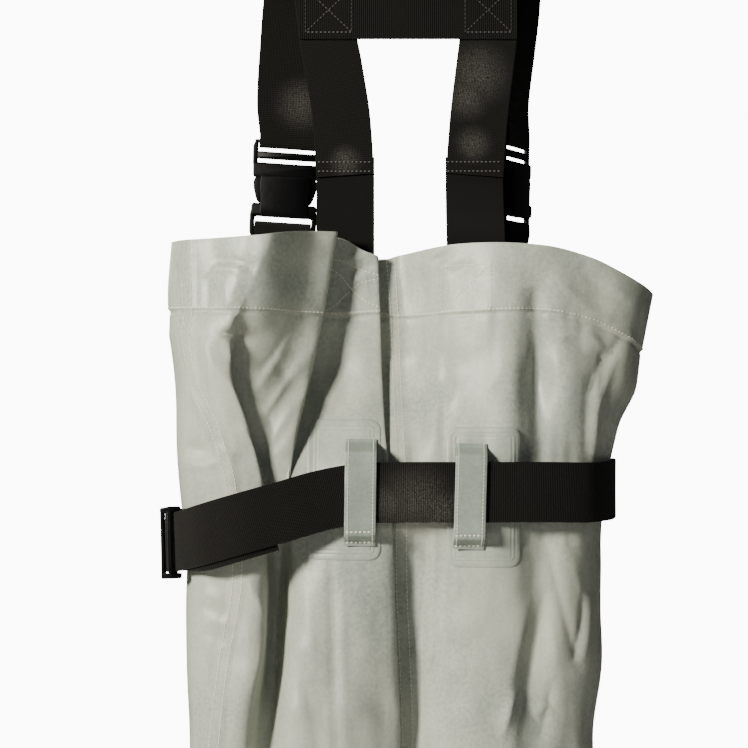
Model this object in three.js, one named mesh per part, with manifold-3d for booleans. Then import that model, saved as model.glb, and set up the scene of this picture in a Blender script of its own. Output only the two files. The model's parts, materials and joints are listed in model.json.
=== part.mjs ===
// A bootfoot chest wader: a body of coated nylon with two legs, welded over two moulded boots,
// with elastic shoulder straps, side-release buckles, and a webbing belt in sewn loops.
// It stands empty on its soles, and its body and straps keep the shape they hang in.
// Millimetres. +Z is up, +Y is the way the toes point, +X is the wearer's right, the floor is z = 0.

import * as THREE from "three";
import { mergeVertices } from "three/addons/utils/BufferGeometryUtils.js";
import Module from "manifold-3d";

const wasm = await Module();
wasm.setup();

// Sizes of the body, as it hangs
const BIB_TOP = 1360; // floor to the hem's top edge at the back seam
const CROTCH = 772; // floor to the crotch seam
const BODY_WIDTH = 400;
const BODY_DEPTH = 160;
const FABRIC = 1.2; // wall of the coated nylon
const HEM = 54; // the turned-down band along the top, with a wall twice as thick
const DEEP_FOLD = 16; // what a fold's lap and step are shares of
const FOLD_REACH = 7; // how far a lap's bend reaches to each side of it

// Sizes of the boots
const SOLE_LENGTH = 300;
const BALL_WIDTH = 106; // of the moulded upper, at the ball
const BOOT_TOP = 320;
const BOOT_SPACING = 210; // between the two boots' centre lines
const HEEL_OVERHANG = 82; // from the leg's centre back to the heel
const SHAFT_WIDTH = 120;
const SHAFT_DEPTH = 138;
const BOOT_WALL = 2.6;
const CUFF_LAP = 45; // how far the leg comes down over the boot
const CUFF_EASE = 1; // room between the boot's shaft and the leg around it
const INSOLE_THICK = 4;
const RIM_HEIGHT = 14; // the sole's rim around the upper
const RIM_WALL = 3;
const HEEL_SEAT = 32; // floor to the top of the sole under the heel
const BALL_SEAT = 18;
const TOE_SEAT = 27;
const TOE_SPRING = 11;
const ARCH_RISE = 13;
const LUG_DEPTH = 5;
const LUG_PITCH = 20;
const LUG_GROOVE = 6;

// Sizes of the webbing and what is on it
const WEBBING = 50; // width of straps and belt
const WEBBING_THICK = 2;
const BELT_DROP = 202; // from the hem down to the middle of the belt at the back
const BELT_HEIGHT = BIB_TOP - BELT_DROP;
const BELT_SAG = 46; // how far it hangs lower at the slide
const LOOP_WIDTH = 26;
const LOOP_THICK = 1.6;
const LOOP_LENGTH = 88;
const PATCH_WIDTH = 62;
const PATCH_LENGTH = 117;
const PATCH_THICK = 0.7;
const PATCH_CORNER = 9;
const PATCH_STEPS = 10; // how many strips a patch has each way between its corners
const TAB_INSIDE = 50; // how far webbing runs down inside the hem
const BACK_WEBBING_RISE = 84; // hem to where the back webbing ends under the elastic
const STRAP_SEAM = 16; // how far the elastic overlaps the back webbing
const STRAP_RISE = 264; // hem to the top of the straps' bends
const YOKE_RISE = 211; // hem to the middle of the band that joins the straps
const YOKE_HEIGHT = 50;
const BUCKLE_RISE = 60; // hem to the middle of the strap buckles
const BUCKLE_WIDTH = 61;
const BUCKLE_LENGTH = 88;
const BUCKLE_THICK = 12;
const BAR = 5; // a bar of a buckle or slide
const BAR_THICK = 4;
const SLOT = 8; // the slot beside a bar
const SLIDE_LENGTH = 34;
const TURNED_BACK = 32; // webbing that comes back on itself round a bar
const BELT_TAIL = 120; // the belt's doubled length, from the slide

const GAP = 0.3; // between pieces that touch
const SLIVER = 0.01; // no edge of a cut is shorter than this

const HALF_WIDTH = BODY_WIDTH / 2;
const HALF_DEPTH = BODY_DEPTH / 2;
const BODY_LENGTH = BIB_TOP - CROTCH;
const HEM_SHARE = HEM / BODY_LENGTH;
const BOOT_X = BOOT_SPACING / 2;

// Helpers for numbers and tables
const lerp = (a, b, t) => a + (b - a) * t;
const clamp = (t) => Math.min(1, Math.max(0, t));
const ease = (t) => clamp(t) ** 2 * (3 - 2 * clamp(t));

/** The value at `at` of a smooth curve through values[i] at keys[i], flat beyond its ends. */
function curveAt(keys, values, at) {
  const last = keys.length - 1;
  if (at <= keys[0]) return values[0];
  if (at >= keys[last]) return values[last];
  let i = 0;
  while (at > keys[i + 1]) i++;
  const slope = (k) => {
    const a = Math.max(0, k - 1);
    const b = Math.min(last, k + 1);
    return (values[b] - values[a]) / (keys[b] - keys[a]);
  };
  const span = keys[i + 1] - keys[i];
  const t = (at - keys[i]) / span;
  const rise = values[i + 1] - values[i];
  const bend = (slope(i) * (1 - t) - slope(i + 1) * t) * span - rise * (1 - 2 * t);
  return values[i] + rise * t + t * (1 - t) * bend;
}

/** One named column of a table of rows, as a smooth curve over another column. */
const column = (rows, by, name) => {
  const keys = rows.map((row) => row[by]);
  const values = rows.map((row) => row[name]);
  return (at) => curveAt(keys, values, at);
};

// Helpers for solids
const ACROSS = new THREE.Vector3(1, 0, 0);
const UP = new THREE.Vector3(0, 0, 1);

/** A closed geometry from vertices and triangles, with its faces turned outwards. */
function closedGeometry(points, triangles) {
  const position = new Float32Array(points.flatMap((p) => [p.x, p.y, p.z]));
  const volume = triangles.reduce((sum, [a, b, c]) => {
    return sum + points[a].dot(new THREE.Vector3().crossVectors(points[b], points[c]));
  }, 0);
  const faces = volume < 0 ? triangles.map(([a, b, c]) => [a, c, b]) : triangles;
  const geometry = new THREE.BufferGeometry();
  geometry.setAttribute("position", new THREE.BufferAttribute(position, 3));
  geometry.setIndex(faces.flat());
  return geometry;
}

/**
 * A solid through rings of equal count. Its last ring meets its first, or its ends are capped
 * by strips, which suits rings that go out along one face and back along the other.
 */
function loft(rings, endless = false) {
  const count = rings[0].length;
  const points = rings.flat();
  const triangles = [];
  const joins = endless ? rings.length : rings.length - 1;
  for (let r = 0; r < joins; r++) {
    for (let c = 0; c < count; c++) {
      const a = r * count + c;
      const b = r * count + ((c + 1) % count);
      const up = (((r + 1) % rings.length) - r) * count;
      triangles.push([a, b, b + up], [a, b + up, a + up]);
    }
  }
  for (const [start, flip] of endless ? [] : [[0, false], [(rings.length - 1) * count, true]]) {
    for (let c = 0; c < count / 2 - 1; c++) {
      const near = [start + c, start + c + 1];
      const far = [start + count - 1 - c, start + count - 2 - c];
      const [a, b] = flip ? near : near.toReversed();
      const [d, e] = flip ? far : far.toReversed();
      triangles.push([a, b, e], [a, e, d]);
    }
  }
  return closedGeometry(points, triangles);
}

/** A flat strip of webbing: stations of {at, across}, across being the way its width runs. */
function ribbon(stations, width, thick) {
  const rings = stations.map(({ at, across }, i) => {
    const before = stations[Math.max(0, i - 1)].at;
    const after = stations[Math.min(stations.length - 1, i + 1)].at;
    const way = after.clone().sub(before).normalize();
    const face = new THREE.Vector3().crossVectors(way, across).normalize();
    const side = new THREE.Vector3().crossVectors(face, way).normalize();
    const corner = (w, f) =>
      at.clone().addScaledVector(side, (w * width) / 2).addScaledVector(face, (f * thick) / 2);
    return [corner(-1, -1), corner(1, -1), corner(1, 1), corner(-1, 1)];
  });
  return loft(rings);
}

/** A three.js geometry as a manifold solid, its shared vertices merged. */
function solid(geometry) {
  const bare = geometry.clone();
  bare.deleteAttribute("normal");
  bare.deleteAttribute("uv");
  const merged = mergeVertices(bare, 1e-3);
  return new wasm.Manifold(
    new wasm.Mesh({
      numProp: 3,
      vertProperties: new Float32Array(merged.attributes.position.array),
      triVerts: new Uint32Array(merged.index.array),
    }),
  );
}

/** A manifold solid as a three.js geometry, without the slivers that a cut can leave. */
function geometryOf(made) {
  const mesh = made.getMesh();
  const cut = new THREE.BufferGeometry();
  cut.setAttribute("position", new THREE.BufferAttribute(mesh.vertProperties, 3));
  cut.setIndex(new THREE.BufferAttribute(mesh.triVerts, 1));
  const geometry = mergeVertices(cut, SLIVER);
  const corners = [...geometry.index.array];
  const kept = [];
  for (let i = 0; i < corners.length; i += 3) {
    const triangle = corners.slice(i, i + 3);
    if (new Set(triangle).size === 3) kept.push(...triangle);
  }
  return geometry.setIndex(kept);
}

/** A prism of an outline of [x, y] points, from z = low to z = high. */
function prism(outline, low, high) {
  const shape = new THREE.Shape(outline.map(([x, y]) => new THREE.Vector2(x, y)));
  const geometry = new THREE.ExtrudeGeometry(shape, { depth: high - low, bevelEnabled: false });
  return geometry.translate(0, 0, low);
}

/** A prism of a side profile of [y, z] points, running across the boot along X. */
function crossPrism(profile, halfSpan) {
  const geometry = prism(profile, -halfSpan, halfSpan);
  const turn = new THREE.Matrix4().makeBasis(
    new THREE.Vector3(0, 1, 0),
    new THREE.Vector3(0, 0, 1),
    new THREE.Vector3(1, 0, 0),
  );
  return geometry.applyMatrix4(turn);
}

/** A box with its corner-to-corner size, centred at a point. */
const block = (x, y, z, at) => new THREE.BoxGeometry(x, y, z).translate(...at);

// The body's shape as it hangs. Every table below goes down the bib by shares of its length, from
// the hem to the crotch, and its places and depths are shares of half the width or half the depth.
const DOWN = [0, 0.092, 0.177, 0.255, 0.344, 0.468, 0.582, 0.706, 0.85, 1];

// The outline: its left and right edges, and how far its back (near) and front (far) stand out
const OUTLINE = {
  left: [-0.975, -0.975, -0.97, -0.965, -0.95, -0.915, -0.912, -0.905, -0.88, -0.925],
  right: [1.09, 1.045, 1.02, 0.94, 0.885, 0.87, 0.868, 0.83, 0.86, 0.925],
  back: [1, 1.02, 1.02, 1.02, 0.98, 0.98, 1, 0.98, 0.9, 0.82],
  front: [0.82, 0.86, 0.88, 0.88, 0.88, 0.88, 0.88, 0.88, 0.86, 0.82],
};

// Folds where the fabric laps over itself on the back. `lap` doubles it back to the left under
// the fold's edge and `step` sets what lies right of it deeper, both as shares of DEEP_FOLD.
const LAPS = [
  {
    name: "left pleat",
    place: [-0.62, -0.66, -0.7, -0.64, -0.57, -0.56, -0.57, -0.62, -0.62, -0.6],
    lap: [0, 0.1, 0.75, 0.7, 0.4, 0.3, 0.3, 0.1, 0, 0],
    step: [0.1, 0.3, 0.8, 0.75, 0.5, 0.5, 0.4, 0.2, 0, 0],
  },
  {
    name: "side flap",
    place: [-0.29, -0.355, -0.405, -0.445, -0.47, -0.46, -0.45, -0.45, -0.42, -0.4],
    lap: [1, 1.05, 1, 0.75, 0.4, 0, 0, 0, 0, 0],
    step: [0.65, 0.7, 0.75, 0.6, 0.35, 0.1, 0, 0, 0, 0],
  },
  {
    name: "centre fold",
    place: [-0.1, -0.092, -0.084, -0.07, -0.045, -0.032, -0.02, -0.005, -0.03, -0.06],
    lap: [0.6, 0.6, 0.6, 0.55, 0.5, 0.55, 0.55, 0.5, 0.2, 0],
    step: [0.65, 0.65, 0.65, 0.6, 0.5, 0.65, 0.7, 0.65, 0.3, 0],
  },
];
const BACK_SEAM = [-0.033, -0.017, -0.008, 0.002, 0.015, 0.02, 0.033, 0.045, 0.02, 0];
const LAP_RETURN = 40; // how far right of a lap its step has died away

// Soft troughs (+) and ridges (-) of the back and front, in shares of half the depth
const BACK_FOLDS = [
  {
    name: "hollow of the flap",
    place: [-0.3, -0.32, -0.34, -0.36, -0.4, -0.45, -0.5, -0.5, -0.45, -0.4],
    depth: [0.28, 0.3, 0.28, 0.22, 0.1, 0.05, 0, 0, 0, 0],
    wide: 0.2,
  },
  {
    name: "left valley",
    place: [-0.5, -0.5, -0.5, -0.52, -0.525, -0.51, -0.53, -0.58, -0.58, -0.55],
    depth: [0, 0, 0, 0, 0.1, 0.42, 0.42, 0.32, 0.12, 0],
    wide: 0.055,
  },
  {
    name: "right valley",
    place: [0.56, 0.57, 0.57, 0.57, 0.57, 0.58, 0.55, 0.56, 0.55, 0.5],
    depth: [0, 0.08, 0.2, 0.18, 0.1, 0.12, 0.13, 0.1, 0.05, 0],
    wide: 0.075,
  },
  {
    name: "seam hollow",
    place: [0.02, 0.02, 0.02, 0.02, 0.03, 0.04, 0.05, 0.06, 0.02, 0],
    depth: [0.16, 0.12, 0.1, 0.08, 0.03, 0.08, 0.1, 0.12, 0.26, 0.52],
    wide: 0.13,
  },
];
const FRONT_FOLDS = [
  {
    name: "left front fold",
    place: [-0.55, -0.55, -0.52, -0.5, -0.48, -0.46, -0.46, -0.46, -0.45, -0.45],
    depth: [0.1, 0.14, 0.16, 0.14, 0.08, 0.12, 0.14, 0.12, 0.06, 0],
    wide: 0.09,
  },
  {
    name: "right front fold",
    place: [0.42, 0.42, 0.4, 0.38, 0.38, 0.38, 0.4, 0.42, 0.45, 0.45],
    depth: [0.08, 0.1, 0.13, 0.12, 0.06, 0.1, 0.12, 0.1, 0.06, 0],
    wide: 0.1,
  },
  {
    name: "front crotch hollow",
    place: [0, 0, 0, 0, 0, 0, 0, 0, 0, 0],
    depth: [0, 0.03, 0.05, 0.05, 0.03, 0.05, 0.08, 0.1, 0.24, 0.5],
    wide: 0.13,
  },
];

// How far the edge and the hem line stand above (+) or droop below (-) level, in shares of HEM
const DROOP = [
  { place: -1, edge: 0.17, hem: 0.09, front: 0.1 },
  { place: -0.6, edge: 0.22, hem: 0.06, front: 0.05 },
  { place: -0.28, edge: 0.3, hem: 0, front: 0 },
  { place: -0.09, edge: -0.1, hem: 0.04, front: 0 },
  { place: 0, edge: -0.02, hem: -0.02, front: 0 },
  { place: 0.25, edge: 0.12, hem: 0.03, front: 0.06 },
  { place: 0.6, edge: 0.08, hem: 0.05, front: 0.26 },
  { place: 0.8, edge: -0.1, hem: -0.1, front: 0 },
  { place: 0.95, edge: -0.36, hem: -0.36, front: -0.4 },
  { place: 1.09, edge: -0.67, hem: -0.67, front: -0.67 },
];
const DROOP_GONE = 0.27; // the share of the bib's length below which it hangs level

const SIDE_FULLNESS = 0.55; // a low power makes the tube's section full towards its sides

/** The outline's numbers, in mm, at a share of the way down. */
function outlineAt(down) {
  const at = (values) => curveAt(DOWN, values, down);
  const left = at(OUTLINE.left) * HALF_WIDTH;
  const right = at(OUTLINE.right) * HALF_WIDTH;
  return {
    middle: (left + right) / 2,
    half: (right - left) / 2,
    back: at(OUTLINE.back) * HALF_DEPTH,
    front: at(OUTLINE.front) * HALF_DEPTH,
  };
}

/** How deep the troughs of a list of folds are at x, in mm. */
function foldDepth(folds, x, down) {
  return folds.reduce((sum, { place, depth, wide }) => {
    const off = (x - curveAt(DOWN, place, down) * HALF_WIDTH) / (wide * HALF_WIDTH);
    return sum + curveAt(DOWN, depth, down) * HALF_DEPTH * Math.exp(-off * off);
  }, 0);
}

/** The height of a point: level, and drooping at the hem as DROOP says. */
function heightAt(x, down, side) {
  const place = x / HALF_WIDTH;
  const edge = column(DROOP, "place", side)(place) * HEM;
  const hem = column(DROOP, "place", "hem")(place) * HEM;
  const droop = lerp(edge, hem, ease(down / HEM_SHARE));
  const share = 1 - ease((down - HEM_SHARE) / (DROOP_GONE - HEM_SHARE));
  return BIB_TOP - down * BODY_LENGTH + droop * share;
}

/** A point of the back, where turn runs from -1 at the left side to 1 at the right side. */
function backPoint(turn, down) {
  const { middle, half, back } = outlineAt(down);
  const flat = middle + half * Math.sin((turn * Math.PI) / 2);
  const round = Math.cos((turn * Math.PI) / 2) ** SIDE_FULLNESS;
  let x = flat;
  let y = -back * round + foldDepth(BACK_FOLDS, flat, down) * round;
  for (const { place, lap, step } of LAPS) {
    const off = (flat - curveAt(DOWN, place, down) * HALF_WIDTH) / FOLD_REACH;
    x -= 1.5 * curveAt(DOWN, lap, down) * DEEP_FOLD * off * Math.exp(-off * off);
    const dying = Math.exp(-Math.max(0, ((off - 1) * FOLD_REACH) / LAP_RETURN));
    y += curveAt(DOWN, step, down) * DEEP_FOLD * ease((off + 1) / 2) * dying;
  }
  return new THREE.Vector3(x, y, heightAt(flat, down, "edge"));
}

/** A point of the front, where turn runs from 0 at the right side to 1 at the left side. */
function frontPoint(turn, down) {
  const { middle, half, front } = outlineAt(down);
  const x = middle + half * Math.cos(turn * Math.PI);
  const round = Math.sin(turn * Math.PI) ** SIDE_FULLNESS;
  const y = (front - foldDepth(FRONT_FOLDS, x, down)) * round;
  const side = lerp(heightAt(x, down, "edge"), heightAt(x, down, "front"), clamp(round));
  return new THREE.Vector3(x, y, side);
}

/** The turn of the back at which the unfolded outline passes x. */
function turnAt(x, down) {
  const { middle, half } = outlineAt(down);
  return (Math.asin(Math.max(-1, Math.min(1, (x - middle) / half))) * 2) / Math.PI;
}

// Where a ring of the body has its points: closer together at the laps, and one on the back seam
const AT_LAP = [-1, -0.45, 0, 0.45, 1];
const LEFT_SHARES = [0, 0.16, 0.38, 0.68];
const BETWEEN_SHARES = [0.5];
const RIGHT_SHARES = [0.12, 0.26, 0.4, 0.52, 0.62, 0.72, 0.82, 0.92];
const FRONT_COUNT = 16;
const LAP_WINDOW = 1.6 * FOLD_REACH;

/** The turns of a ring's points along the back, from the left side to just short of the right. */
function backTurns(down) {
  const places = LAPS.map(({ place }) => curveAt(DOWN, place, down) * HALF_WIDTH);
  const seam = curveAt(DOWN, BACK_SEAM, down) * HALF_WIDTH;
  const left = outlineAt(down).middle - outlineAt(down).half;
  const marks = [left, ...places, seam];
  const window = (i) => {
    const room = Math.min(marks[i] - marks[i - 1], marks[i + 1] - marks[i]);
    return Math.min(LAP_WINDOW, 0.42 * room);
  };
  const turns = [];
  const start = turnAt(marks[1] - window(1), down);
  for (const share of LEFT_SHARES) turns.push(lerp(-1, start, share));
  for (let i = 1; i <= LAPS.length; i++) {
    for (const off of AT_LAP) turns.push(turnAt(marks[i] + off * window(i), down));
    if (i === LAPS.length) break;
    const from = marks[i] + window(i);
    const to = marks[i + 1] - window(i + 1);
    for (const share of BETWEEN_SHARES) turns.push(turnAt(lerp(from, to, share), down));
  }
  const seamTurn = turnAt(seam, down);
  turns.push(seamTurn);
  for (const share of RIGHT_SHARES) turns.push(lerp(seamTurn, 1, share));
  return turns;
}
const SEAM_INDEX =
  LEFT_SHARES.length + LAPS.length * (AT_LAP.length + BETWEEN_SHARES.length) -
  BETWEEN_SHARES.length;

/** A ring of the body's outer face, from the left side over the back to the right, then the front. */
function bodyRing(down) {
  const back = backTurns(down).map((turn) => backPoint(turn, down));
  const front = [];
  for (let i = 0; i < FRONT_COUNT; i++) front.push(frontPoint(i / FRONT_COUNT, down));
  return [...back, ...front];
}

// Rows of the body down the bib, with one just above and one on the hem line
const STITCH_ROOM = 1.5;
const BIB_ROWS = [
  0,
  HEM_SHARE - STITCH_ROOM / BODY_LENGTH,
  HEM_SHARE,
  0.135,
  0.18,
  0.225,
  0.28,
  0.344,
  0.41,
  0.475,
  0.54,
  0.61,
  0.69,
  0.78,
  0.88,
  1,
];
const BRIDGE_COUNT = 2; // points across the crotch between the back seam and the front seam

// The leg, down by shares of its length from the crotch to the cuff's lower edge. Its centre is a
// share of the boots' spacing, and its half width and half depth are shares of the body's.
const LEG = [
  { down: 0, centre: 0.92, wide: 0.455, deep: 0.82 },
  { down: 0.16, centre: 0.92, wide: 0.44, deep: 0.8 },
  { down: 0.34, centre: 0.92, wide: 0.41, deep: 0.76 },
  { down: 0.5, centre: 0.93, wide: 0.38, deep: 0.73 },
  { down: 0.66, centre: 0.95, wide: 0.365, deep: 0.78 },
  { down: 0.8, centre: 0.98, wide: 0.35, deep: 0.87 },
  { down: 0.88, centre: 1, wide: 0.335, deep: 0.9 },
];
const LEG_ROWS = [0.06, 0.14, 0.25, 0.38, 0.52, 0.65, 0.76, 0.85];
const LEG_BLEND = 0.22; // by this share down the leg it has left the crotch's shape
const SLUMPS = [
  { down: 0.47, tall: 0.05, out: -0.05 },
  { down: 0.62, tall: 0.045, out: 0.05 },
  { down: 0.8, tall: 0.04, out: 0.06 },
];
const CUFF_LOW = BOOT_TOP - CUFF_LAP;
const LEG_LENGTH = CROTCH - CUFF_LOW;

/** The leg's oval at a share down it: centre, half width and half depth in mm. */
function legAt(down) {
  const slump = SLUMPS.reduce((sum, { down: at, tall, out }) => {
    return sum + out * Math.exp(-(((down - at) / tall) ** 2));
  }, 0);
  return {
    centre: column(LEG, "down", "centre")(down) * BOOT_X,
    wide: column(LEG, "down", "wide")(down) * HALF_WIDTH * (1 + slump),
    deep: column(LEG, "down", "deep")(down) * HALF_DEPTH * (1 + slump),
  };
}

/** The body's outer face: a bib that parts into two legs, with the way each point looks. */
function waderFace() {
  const points = [];
  const walls = [];
  const quads = [];
  const add = (point, wall) => {
    walls.push(wall);
    return points.push(point) - 1;
  };
  const join = (upper, lower) => {
    for (let c = 0; c < upper.length; c++) {
      const next = (c + 1) % upper.length;
      quads.push([upper[c], lower[c], lower[next], upper[next]]);
    }
  };
  const rows = BIB_ROWS.map((down) => {
    const wall = down < HEM_SHARE ? 2 * FABRIC : FABRIC;
    return bodyRing(down).map((point) => add(point, wall));
  });
  for (let r = 0; r + 1 < rows.length; r++) join(rows[r], rows[r + 1]);

  const fork = rows.at(-1);
  const frontIndex = fork.length - FRONT_COUNT / 2;
  const [backSeam, frontSeam] = [points[fork[SEAM_INDEX]], points[fork[frontIndex]]];
  const bridge = [];
  for (let i = 1; i <= BRIDGE_COUNT; i++) {
    const share = i / (BRIDGE_COUNT + 1);
    const point = backSeam.clone().lerp(frontSeam, share);
    bridge.push(add(point, FABRIC));
  }
  const leftTop = [
    ...fork.slice(0, SEAM_INDEX + 1),
    ...bridge,
    ...fork.slice(frontIndex),
  ];
  const rightTop = [...fork.slice(SEAM_INDEX, frontIndex + 1), ...bridge.toReversed()];
  const hems = [[leftTop, -1], [rightTop, 1]].map(([top, side]) => {
    const start = legAt(0);
    const angles = top.map((index) => {
      const { x, y } = points[index];
      return Math.atan2(y / start.deep, (x - side * start.centre) / start.wide);
    });
    for (let c = 1; c < angles.length; c++) {
      while (angles[c] < angles[c - 1]) angles[c] += 2 * Math.PI;
    }
    const even = angles.map((_, c) => angles[0] + (c / angles.length) * 2 * Math.PI);
    const ringAt = (z, centre, wide, deep, share) =>
      angles.map((angle, c) => {
        const turned = lerp(angle, even[c], share);
        const x = side * centre + wide * Math.cos(turned);
        return new THREE.Vector3(x, deep * Math.sin(turned), z);
      });
    let upper = top;
    for (const down of LEG_ROWS) {
      const { centre, wide, deep } = legAt(down);
      const share = ease(down / LEG_BLEND);
      const oval = ringAt(CROTCH - down * LEG_LENGTH, centre, wide, deep, ease(down / 0.6));
      const lower = oval.map((point, c) => {
        const above = points[top[c]].clone().setZ(point.z);
        return add(above.lerp(point, share), FABRIC);
      });
      join(upper, lower);
      upper = lower;
    }
    for (const z of [BOOT_TOP + BOOT_WALL, CUFF_LOW]) {
      const grow = CUFF_EASE + FABRIC;
      const oval = ringAt(z, BOOT_X, SHAFT_WIDTH / 2 + grow, SHAFT_DEPTH / 2 + grow, 1);
      const lower = oval.map((point) => add(point, FABRIC));
      join(upper, lower);
      upper = lower;
    }
    return upper;
  });

  const normals = points.map(() => new THREE.Vector3());
  const triangles = quads.flatMap(([a, b, c, d]) => [[a, b, c], [a, c, d]]);
  for (const [a, b, c] of triangles) {
    const one = points[b].clone().sub(points[a]);
    const two = points[c].clone().sub(points[a]);
    const normal = one.cross(two);
    for (const corner of [a, b, c]) normals[corner].add(normal);
  }
  for (const normal of normals) normal.normalize();
  return { points, normals, walls, triangles, rows, hems };
}

/** The whole body, as one wall between its outer face and its inner one. */
function wader({ points, normals, walls, triangles, rows, hems }) {
  const inner = points.map((point, i) => point.clone().addScaledVector(normals[i], -walls[i]));
  const count = points.length;
  const closed = [...triangles, ...triangles.map(([a, b, c]) => [a + count, c + count, b + count])];
  const rim = (ring, up) => {
    for (let c = 0; c < ring.length; c++) {
      const next = ring[(c + 1) % ring.length];
      const [a, b] = up ? [ring[c], next] : [next, ring[c]];
      closed.push([a + count, a, b], [a + count, b, b + count]);
    }
  };
  rim(rows[0], true);
  for (const hem of hems) rim(hem, false);
  return closedGeometry([...points, ...inner], closed);
}

/** How far back the body's outer face lies as built, at an x and a height. */
function backSurface(mesh, x, z) {
  const from = new THREE.Vector3(x, -4 * HALF_DEPTH, z);
  const ray = new THREE.Raycaster(from, new THREE.Vector3(0, 1, 0));
  return ray.intersectObject(mesh)[0].point.y;
}

/** The rows of a patch's outline from its lower end up: how high, and how wide to each side. */
function patchRows() {
  const corner = [0, 45, 90].map((degrees) => {
    const angle = (degrees * Math.PI) / 180;
    return {
      inset: PATCH_CORNER * (1 - Math.sin(angle)),
      half: PATCH_WIDTH / 2 - PATCH_CORNER * (1 - Math.cos(angle)),
    };
  });
  const straight = PATCH_LENGTH - 2 * PATCH_CORNER;
  const rows = corner.map(({ inset, half }) => ({ rise: inset, half })).reverse();
  const ends = rows.map(({ rise, half }) => ({ rise: PATCH_LENGTH - rise, half })).reverse();
  const between = [];
  for (let i = 1; i < PATCH_STEPS; i++) {
    between.push({ rise: PATCH_CORNER + (straight * i) / PATCH_STEPS, half: PATCH_WIDTH / 2 });
  }
  return [...rows, ...between, ...ends];
}

/** A patch welded on the back, centred at x and z, which follows the body's face. */
function patch(mesh, x, z) {
  const reach = PATCH_WIDTH / PATCH_STEPS / 2;
  const rings = patchRows().map(({ rise, half }) => {
    const height = z - PATCH_LENGTH / 2 + rise;
    const outer = [];
    const inner = [];
    for (let i = 0; i <= PATCH_STEPS; i++) {
      const at = x + half * ((2 * i) / PATCH_STEPS - 1);
      const faces = [-reach, 0, reach].flatMap((dx) =>
        [-reach, 0, reach].map((dz) => backSurface(mesh, at + dx, height + dz)),
      );
      const y = Math.min(...faces) - GAP;
      inner.push(new THREE.Vector3(at, y, height));
      outer.push(new THREE.Vector3(at, y - PATCH_THICK, height));
    }
    return [...outer, ...inner.reverse()];
  });
  return loft(rings);
}

// The belt's plan: places round the body as shares of half the width and half the depth, with
// `low` the share of BELT_SAG that it hangs lower there. Its back runs from right to left.
const BELT = [
  { x: 0.93, y: -0.12, low: 0 },
  { x: 0.885, y: -0.55, low: 0 },
  { x: 0.78, y: -0.86, low: 0 },
  { x: 0.6, y: -1.0, low: -0.02 },
  { x: 0.3, y: -1.04, low: -0.02 },
  { x: 0, y: -1.05, low: -0.02 },
  { x: -0.16, y: -1.05, low: 0 },
  { x: -0.32, y: -1.07, low: 0.12 },
  { x: -0.5, y: -1.11, low: 0.34 },
  { x: -0.68, y: -1.1, low: 0.56 },
  { x: -0.84, y: -0.92, low: 0.78 },
  { x: -0.945, y: -0.55, low: 0.94 },
  { x: -1.0, y: -0.12, low: 1.02 },
  { x: -1.01, y: 0.3, low: 1.02 },
  { x: -0.92, y: 0.72, low: 0.98 },
  { x: -0.72, y: 0.95, low: 0.9 },
  { x: -0.4, y: 1.03, low: 0.76 },
  { x: 0, y: 1.05, low: 0.55 },
  { x: 0.4, y: 1.03, low: 0.32 },
  { x: 0.7, y: 0.93, low: 0.12 },
  { x: 0.87, y: 0.66, low: 0.03 },
  { x: 0.935, y: 0.28, low: 0 },
];
const BELT_STEPS = 40;
const beltCurve = new THREE.CatmullRomCurve3(
  BELT.map(({ x, y, low }) => {
    return new THREE.Vector3(x * HALF_WIDTH, y * HALF_DEPTH, BELT_HEIGHT - low * BELT_SAG);
  }),
  true,
  "centripetal",
);

const beltLength = beltCurve.getLength();

/** A place on the belt: the point, the way it runs, and the way its width runs. */
function beltAt(share) {
  const at = beltCurve.getPointAt(share % 1);
  const way = beltCurve.getTangentAt(share % 1);
  const out = new THREE.Vector3(-way.y, way.x, 0).normalize();
  const across = new THREE.Vector3().crossVectors(out, way).normalize();
  return { at, way, out, across };
}

/** The share of the belt's way round at which it comes nearest to a plan point. */
function beltShareNear(x, y) {
  let best = 0;
  let least = Infinity;
  for (let i = 0; i < 400; i++) {
    const { x: px, y: py } = beltCurve.getPointAt(i / 400);
    const far = Math.hypot(px - x, py - y);
    if (far < least) [least, best] = [far, i / 400];
  }
  return best;
}

/** Places a geometry made flat (x along the strap, y across it, z outwards) at a frame. */
function seat(geometry, { at, way, out, across }) {
  const turn = new THREE.Matrix4().makeBasis(way, across, out);
  return geometry.clone().applyMatrix4(turn.setPosition(at));
}

/** A flat plate with cut-off corners, lying in x and y. */
function plate(fromX, toX, wide, thick) {
  const cut = 0.6 * BAR;
  const half = wide / 2;
  const outline = [
    [fromX + cut, -half],
    [toX - cut, -half],
    [toX, -half + cut],
    [toX, half - cut],
    [toX - cut, half],
    [fromX + cut, half],
    [fromX, half - cut],
    [fromX, -half + cut],
  ];
  return solid(prism(outline, -thick / 2, thick / 2));
}

const SLOT_WIDTH = WEBBING + 4 * GAP;
const HALF_BUCKLE = BUCKLE_LENGTH / 2;
const PLUG_END = -HALF_BUCKLE + 2 * BAR + 2 * SLOT;
const POCKET_WIDE = BUCKLE_WIDTH - 2.6 * BAR;
const PRONG_REACH = 0.2 * BUCKLE_LENGTH; // past the buckle's middle
const PRONG_WIDE = 9;
const MOUTH_THICK = BUCKLE_THICK / 2;

/** A cut through a plate at a place along the strap. */
const slotCut = (fromX, toX) =>
  solid(block(toX - fromX, SLOT_WIDTH, 2 * BUCKLE_THICK, [(fromX + toX) / 2, 0, 0]));

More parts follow.
